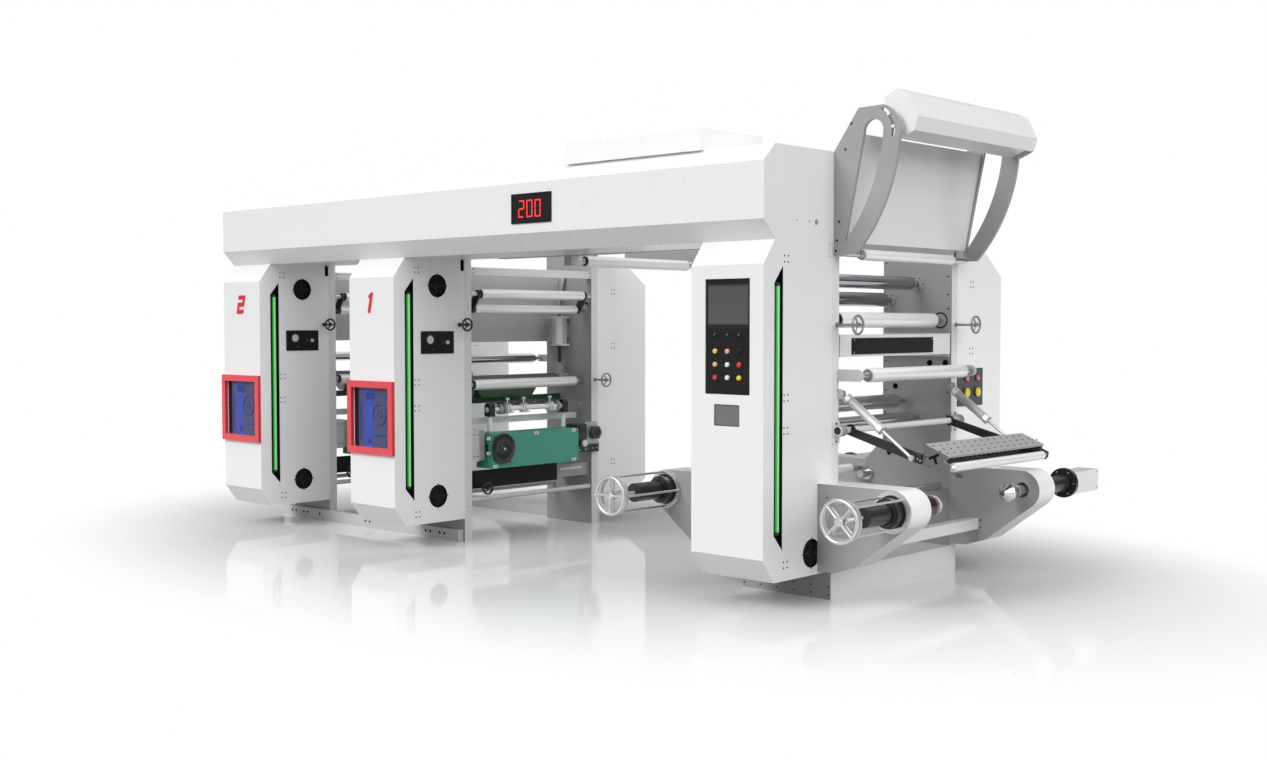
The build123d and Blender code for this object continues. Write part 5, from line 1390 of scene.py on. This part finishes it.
# The stands
@dataclass
class Stand:
    """The moving pieces of one shaftless stand: its handwheel, sleeve, cone and spindle."""

    side: str
    x: float
    turn: float
    wheel_y: float = -1165.0
    wheel_radius: float = 106.0
    rim: float = 8.6
    spokes: int = 4
    thread_turns: int = 33
    pitch: float = 7.0

    def build(self) -> None:
        """Make the pieces."""
        self._wheel()
        sleeve = f"{self.side}_chuck_sleeve"
        piece = Piece(f"{sleeve}_tube", Slot.BLACK, sleeve)
        piece.cast(sleeve, 0.8, BLACK)
        piece.finish(sleeve)
        cone = f"{self.side}_front_cone"
        piece = Piece(f"{cone}_turned", Slot.CHROME, cone)
        piece.cast(cone, 0.8, BRIGHT)
        piece.lathe(collar(47, 49, 7), (self.x, -385, STAND_Z), BEHIND, CONE_RED, 64)
        piece.lathe([(47, 0), (49.4, 0), (50, 1), (50, 4), (49.4, 5), (47, 5), (47, 0)],
                    (self.x, -364, STAND_Z), BEHIND, PALE_PLASTIC, 64)
        piece.finish(cone)
        spindle = f"{self.side}_rear_spindle"
        piece = Piece(f"{spindle}_turned", Slot.CHROME, spindle)
        piece.cast(spindle, 0.8, CHROME)
        piece.lathe(collar(29, 34, 10, 1), (self.x, 470, STAND_Z), BEHIND, GREY_METAL, 40)
        piece.finish(spindle)

    def _wheel(self) -> None:
        """Make the large handwheel with its screw."""
        node = f"{self.side}_chuck_handwheel"
        piece = Piece(f"{node}_wheel", Slot.CHROME, node)
        centre = (self.x, self.wheel_y, STAND_Z)
        place = toward(centre, AHEAD)
        middle = self.wheel_radius - self.rim
        piece.add(stock_ring(middle, self.rim, 72, 16), WHEEL, place)
        piece.lathe([(0, -8), (20, -8), (22, -6), (22, 6), (20, 9), (15, 10), (14, 12), (9, 13), (0, 13)],
                    centre, AHEAD, WHEEL, 36)
        for point in around(self.spokes, 1.0, start=self.turn):
            way = Vector((*point, 0))
            start = place @ (way * 17)
            bar = place @ (way * (middle - 2)) - start
            piece.lathe([(0, 0), (8.5, 0), (6.0, bar.length * 0.45), (7.5, bar.length), (0, bar.length)],
                        start, bar, WHEEL, 20)
            piece.lathe([(0, -10), (6, -9), (9, -5), (10, 0), (9, 5), (6, 9), (0, 10)],
                        place @ (way * middle), AHEAD, WHEEL, 20)
        if self.side == "left":
            piece.lathe([(0, 0), (5, 0), (5, 4), (8, 6), (9, 11), (0, 13)], place @ Vector((-middle, 0, 0)),
                        AHEAD, BRIGHT, 20)
        thread = [(0, 0), (9.0, 0)]
        for step in range(self.thread_turns):
            thread += [(10.5, 3.0 + step * self.pitch), (9.0, 6.5 + step * self.pitch)]
        thread += [(0, thread[-1][1])]
        piece.lathe(thread, (self.x, self.wheel_y + 8, STAND_Z), BEHIND, WHEEL, 24)
        piece.lathe([(11, 0), (23, 0), (24, 1), (24, 15), (22, 17), (11, 17), (11, 0)],
                    (self.x, HOUSING_FACE + 12, STAND_Z), BEHIND, WHEEL)
        piece.finish(node, weighted=False)


def arm_finish(face: Face) -> Finish:
    """Return the finish of a stand arm's face: grey on the front arm's sides, a lightened grey on the rear
    arm's sides and a brightened white round its edge, both painted light.
    """
    if abs(face.normal.y) < 0.8:
        return PAINTED_LIGHT_WHITE
    return ARM_GREY if face.calc_center_median().y < 0 else ARM_GREY_PAINTED_LIGHT


def brake_finish(face: Face) -> Finish:
    """Return white for the box of a brake and black for its tube."""
    return WHITE if face.calc_center_median().y > 1046.5 else BLACK


def build_stands() -> None:
    """Build both stands, their arms, cages and brakes."""
    Stand("right", STAND_X, 45.0).build()
    Stand("left", -STAND_X, 0.0).build()
    arms = Piece("stand_arms", Slot.GREY)
    arms.cast("unwind_arms", 3.0, lambda low, high: arm_finish)
    cages = Piece("chuck_cage_rods", Slot.CHROME)
    cages.cast("chuck_cages", 0.8, WHEEL)
    brakes = Piece("tension_brake_set", Slot.BLACK)
    brakes.cast("tension_brakes", 1.5, lambda low, high: brake_finish)
    for sign in SIDES:
        x = STAND_X * sign
        arms.lathe([(88, 0), (104, 0), (104, 3), (101, 5), (91, 5), (88, 3), (88, 0)],
                   (x, STAND_FACE, STAND_Z), AHEAD, WHEEL, 72)
        arms.screws([(x + 112 * sign * dx, STAND_FACE, STAND_Z + dz)
                     for dx, dz in ((-2.4, 20), (-3.1, -170), (-3.4, 40))], AHEAD, 4.5, 2.4)
        arms.screws([(sign * 435 + dx, 545 - 3.0, 289 + dz) for dx in (-42, 42) for dz in (-20, 20)], AHEAD,
                    4.5, 2.4)
        cages.lathe([(52.5, 0), (83, 0), (83, 12), (80, 15), (73, 15), (73, 60), (70, 63), (61, 63), (61, 71),
                     (59, 73), (52.5, 73), (52.5, 0)], (x, STAND_FACE, STAND_Z), AHEAD, BLACK, 64)
        for y in (760, 800, 984):
            brakes.lathe(collar(45.6, 49, 8), (x, y, STAND_Z), BEHIND, DARK_PLATE, 48)
        brakes.screws([(bx, 1022, bz) for bx, bz in around(6, 68, (x, STAND_Z))], AHEAD, 6.5, 4.0, ZINC)
        brakes.screws([(x + 61, y, z) for y in (1062, 1326) for z in (450, 542)], RIGHT, 4.0, 2.0)
    arms.finish("unwind_arms")
    cages.finish("chuck_cages")
    brakes.finish("tension_brakes")


# The nip frame
@dataclass
class NipFrame:
    """The swinging frame with its box, roller and air cylinders."""

    pivot: Pair = (315.0, 858.0)
    corners: Outline = ((752.0, 811.0), (882.0, 758.0), (843.0, 681.0))
    start: Pair = (290.0, 1044.0)
    end: Pair = (700.0, 741.0)
    y: float = 520.0

    def build(self) -> None:
        """Make the frame, the box, the cylinders and the pivot housings."""
        self._arms()
        self._box()
        self._cylinders()
        self._pivots()

    def _arms(self) -> None:
        """Make the pale shaft and the black arms."""
        piece = Piece("nip_arms", Slot.BLACK, "nip_frame")
        piece.cast("nip_frame", 1.2, lambda low, high: self._arm_finish)
        for side in SIDES:
            piece.lathe(collar(16.4, 28, 11, 1), (self.pivot[0], side * 474, self.pivot[1]), BEHIND * side,
                        BLACK, 40)
            piece.screws([(722, side * 500.2, 738), (738, side * 500.2, 730)], BEHIND * side, 5.0, 3.0, ZINC)
        piece.finish("nip_frame")

    def _arm_finish(self, face: Face) -> Finish:
        """Return pale plating for the shaft's faces and black for the arms."""
        middle = face.calc_center_median()
        off = math.hypot(middle.x - self.pivot[0], middle.z - self.pivot[1])
        return PALE_PLASTIC if off < 16.6 and not 484 < abs(middle.y) < 501 else BLACK

    @staticmethod
    def _box_finish(face: Face) -> Finish:
        """Return the darker grey for the box's ends."""
        return BOX_GREY if abs(face.normal.y) > 0.8 else PLATE

    def _box(self) -> None:
        """Make the perforated box over the roller, with its holes and slots drawn in painted shade."""
        piece = Piece("nip_box_sheet", Slot.GREY, "nip_frame")
        piece.cast("nip_box", 1.2, lambda low, high: self._box_finish)
        back, edge, low = [Vector((x, 0, z)) for x, z in self.corners]
        top = edge - back
        front = low - edge
        over = Vector((-top.z, 0, top.x)).normalized()
        ahead = Vector((-front.z, 0, front.x)).normalized()
        for row, share in enumerate((0.2, 0.5, 0.8)):
            for number in range(14):
                y = -448 + number * 66 + (33 if row % 2 else 0)
                piece.disc(6.4, 0.4, back + BEHIND * y + top * share, over, HOLE_SHADE, 16)
        lean = Matrix.Rotation(math.radians(-22.2), 4, "Y")
        for number in range(21):
            point = edge + BEHIND * (-440 + number * 44) + front * 0.2
            piece.box((-4.5, -16, -0.2), (4.5, 16, 0.5), HOLE_SHADE, 0.2, toward(point, ahead))
        for side in SIDES:
            centre = Matrix.Translation((808, side * 485.2, 742)) @ lean
            piece.box((-30, -0.8, 4), (30, 0.8, 18), HOLE_SHADE, 0.3, centre)
            piece.box((-7, -0.8, -28), (7, 0.8, 5), HOLE_SHADE, 0.3, centre)
            piece.screws([centre @ Vector((dx, 0, dz))
                          for dx, dz in ((-44, 24), (44, 24), (-44, -24), (40, -24))],
                         BEHIND * side, 3.6, 2.0)
        bracket = [(846, 688), (860, 738), (906, 718), (902, 690), (890, 678), (862, 678)]
        piece.prism(bracket, 11.6, BLACK, on_front(491.2 + 5.8), 1.4, 3.0)
        piece.finish("nip_box")

    def _cylinders(self) -> None:
        """Make the grooved barrels with their pale caps, and the bright rods."""
        barrels = Piece("nip_barrel_set", Slot.ROLLER, "nip_barrels")
        barrels.cast("nip_cylinder_barrels", 0.8, lambda low, high: self._barrel_finish)
        way = self._way()
        across = Vector((-way.z, 0, way.x))
        for side in SIDES:
            base = Vector((self.start[0], side * self.y, self.start[1]))
            for along, out in around(8, 1.0, start=22.5):
                place = base + way * 66 + (across * along + BEHIND * out) * 21.0
                barrels.rod(place, place + way * 204, 2.2, GREY_METAL, 0.5, 8)
            for far, direction in ((37, -way), (299.4, way)):
                for along, out in around(4, 1.0, start=45.0):
                    spot = base + way * far + (across * along + BEHIND * out) * 19
                    barrels.screws([spot], direction, 4.0, 2.4)
        barrels.finish("nip_cylinder_barrels")
        rods = Piece("nip_rod_set", Slot.CHROME, "nip_rods")
        rods.cast("nip_cylinder_rods", 0.5, WHEEL)
        rods.finish("nip_cylinder_rods")

    def _way(self) -> Vector:
        """Return the direction from the barrels' pivot to the rods' eyes."""
        return Vector((self.end[0] - self.start[0], 0, self.end[1] - self.start[1])).normalized()

    def _barrel_finish(self, face: Face) -> Finish:
        """Return the finish of a barrel's face by how far along it is."""
        middle = face.calc_center_median()
        far = (middle - Vector((self.start[0], middle.y, self.start[1]))).dot(self._way())
        return ALUMINIUM if 37 < far < 63 or 273 < far < 301 else GREY_METAL

    def _pivots(self) -> None:
        """Add the screws and ribs of the pivot housings to the press."""
        piece = Piece("nip_pivot_ribs", Slot.ROLLER)
        x, z = self.pivot
        for side in SIDES:
            for number in range(7):
                piece.lathe(collar(26, 30, 4, 0.8), (x, side * (548 + 6.4 * number), z), BEHIND * side,
                            GREY_METAL, 36)
            piece.lathe([(0, 0), (20, 0), (18, 3), (0, 4)], (x, side * 595, z), BEHIND * side, IRON)
            piece.screws([(293, side * 575, low) for low in (802, 893)], RIGHT, 6.0, 3.6)
        piece.finish()


# The tower
class TowerFastenings:
    """Screws, holes in painted shade and flanges on the tower's plates, brackets and beam."""

    inner = INNER - 0.2

    def build(self) -> None:
        """Set them all."""
        piece = Piece("tower_fastenings", Slot.IRON)
        for z in (1180, 1330, 1480, 1560, 1660, 1745, 1010, 880, 730):
            piece.screws([(x, self.inner, z) for x in (-146, 262)], AHEAD, 5.0, 2.6)
        for x, z, r in ((146, 1174, 16), (247, 1176, 16), (-80, 1036, 15), (-120, 650, 14), (205, 690, 12)):
            hole = [(0, 0), (r, 0), (r + 1.5, 0), (r + 1.5, 1.2), (r, 1.6), (r, 0.4), (0, 0.4)]
            for side in SIDES:
                piece.lathe(hole, (x, side * self.inner, z), AHEAD * side, HOLE_SHADE)
        self._journal(piece, 62, 1623, 46)
        self._journal(piece, -119, 1533, 40)
        for side in SIDES:
            piece.lathe(collar(38, 46, 0.8), (213, side * self.inner, 1415), AHEAD * side, HOLE_SHADE, 48)
            piece.box((161, side * 544 - 1.4, 1401), (183, side * 544 + 1.4, 1429), ARM_GREY, 0.4)
        for z in (25, 65):
            for side in SIDES:
                piece.screws([(x, side * 605, z) for x in range(-270, 271, 108)], BEHIND * side, 5.0, 2.2)
        for side in SIDES:
            piece.screws([(x, side * 595.2, z)
                          for x, z in ((300, 1760), (306, 1812), (318, 1905), (352, 2262), (388, 2386))],
                         BEHIND * side, 6.0, 3.0)
            piece.box((284.5, side * 575 - 12, 1742), (287.5, side * 575 + 12, 1792), DARK_PLATE)
        piece.lathe([(0, 0), (14, 0), (14, 1.2), (12, 1.6), (11, 0.6), (0, 0.6)], (TOWER_RIGHT, -742, 1897),
                    RIGHT, GREY_METAL)
        piece.screws([(TOWER_RIGHT, y, 1899) for y in (-800, -905)], RIGHT, 3.4, 1.6)
        for z in (1620, 1240, 420):
            for right in (TOWER_RIGHT, *UNIT_RIGHTS):
                piece.screws([(right, y, z + dz) for y in (745, 775) for dz in (-15, 15)], RIGHT, 4.4, 1.6)
        for side in SIDES:
            for z in (1232, 1324):
                piece.screws([(x, side * 532.8, z) for x in (-130, 60, 200)], AHEAD * side, 6.0, 3.0)
            piece.lathe([(8, 0), (24, 0), (25, 1), (25, 5), (22, 7), (8, 7), (8, 0)],
                        (TOWER_RIGHT, side * 575, 1390), RIGHT, PALE_PLASTIC, 36)
            piece.screws([(TOWER_RIGHT + 14, side * 552, z) for z in (1030, 1058)], RIGHT, 4.0, 2.4)
        piece.screws([(291, y, z) for y in (-418, 330) for z in (1250, 1313)], RIGHT, 4.0, 2.0, ZINC)
        piece.finish()

    def _journal(self, piece: Piece, x: float, z: float, radius: float) -> None:
        """Add a round flange with six bolts round a roller's journal."""
        for side in SIDES:
            piece.lathe([(17, 0), (radius - 1, 0), (radius, 1), (radius, 5), (radius - 2, 7), (24, 7),
                         (22, 10), (17, 10), (17, 0)], (x, side * self.inner, z), AHEAD * side, ARM_GREY, 48)
            piece.screws([(bx, side * (self.inner - 6.8), bz) for bx, bz in around(6, radius - 10, (x, z))],
                         AHEAD * side, 3.6, 2.4)


# The frame and the housings
def housing_finish(face: Face) -> Finish:
    """Return the finish of a unit housing's face, with its sides in a white brightened as painted light."""
    return PAINTED_LIGHT_WHITE if abs(face.normal.x) > 0.8 else WHITE


def beam_finish(low: Vector, high: Vector) -> Finish:
    """Return the finish of the beam, and the white brightened as painted light for the cable box on it."""
    return PAINTED_LIGHT_WHITE if low.z > 2250 else WHITE


def plate_finish(face: Face) -> Finish:
    """Return the finish of a frame plate's face, paler on its narrow ends."""
    return SIDE_WHITE if abs(face.normal.x) > 0.8 else PLATE


def build_frame() -> None:
    """Dress the plates, housings and bars with their own shapes."""
    for node, slot, rounding, finish in (
            ("floor_rails", Slot.GREY, 2.0, LIGHT_PLATE), ("plinth", Slot.WHITE, 2.0, SIDE_WHITE),
            ("tower_front_housing", Slot.WHITE, 3.0, WHITE),
            ("unit_front_housings", Slot.WHITE, 3.0, lambda low, high: housing_finish),
            # The rear cabinets take the white that is brightened as painted light.
            ("rear_cabinets", Slot.WHITE, 3.0, PAINTED_LIGHT_WHITE), ("overhead_beam", Slot.WHITE, 3.0, beam_finish),
            ("unit_windows", Slot.RED, 2.5, RED), ("dryer_panels", Slot.GREY, 1.5, LIGHT_PLATE),
            ("ink_pans", Slot.GREEN, 1.0, GREEN), ("hood_brackets", Slot.GREY, 1.5, ARM_GREY),
            ("hood_back_sheet", Slot.WHITE, 1.5, SIDE_WHITE),
            ("tower_plates", Slot.GREY, 2.0, lambda low, high: plate_finish),
            ("unit_plates", Slot.GREY, 2.0, lambda low, high: plate_finish),
            ("bridge_plates", Slot.GREY, 2.0, lambda low, high: plate_finish),
            ("tower_bars", Slot.STEEL, 1.5, tower_bar_dress), ("unit_bars", Slot.STEEL, 1.5, unit_bar_dress),
            ("inspection_hood", Slot.WHITE, 2.0, WHITE), ("nip_roller", Slot.ROLLER, 1.0, WHITE_ROLLER)):
        piece = Piece(f"{node}_dressed", slot, node if node in ("inspection_hood", "nip_roller") else PRESS)
        piece.cast(node, rounding, finish)
        piece.finish(node)


def main() -> None:
    """Build the scene in order."""
    logging.basicConfig(level=logging.INFO, format="%(name)s %(message)s")
    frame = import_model()
    Piece.frame = frame
    Piece.painter = Painter()
    Studio().build()
    build_frame()
    build_rollers()
    build_handwheels()
    HousingOpenings("tower", TOWER_RIGHT, ((-770.0, 258.0),), (1709.0, 1038.0, 878.0, 226.0)).build()
    for number, right in enumerate(UNIT_RIGHTS, start=1):
        HousingOpenings(f"unit_{number}", right, ((-822.0, 313.0), (-822.0, 1632.0)),
                        (1727.0, 1032.0, 872.0, 213.0)).build()
    for group in (LightTubes(), ControlPanel(), SidePanels(), Windows(), Numerals(), DriveBoxes(),
                  DoctorBlades(), ImpressionCylinders(), UnitFastenings(), TowerFastenings()):
        group.build()
    build_stands()
    NipFrame().build()


if __name__ == "__main__":
    main()
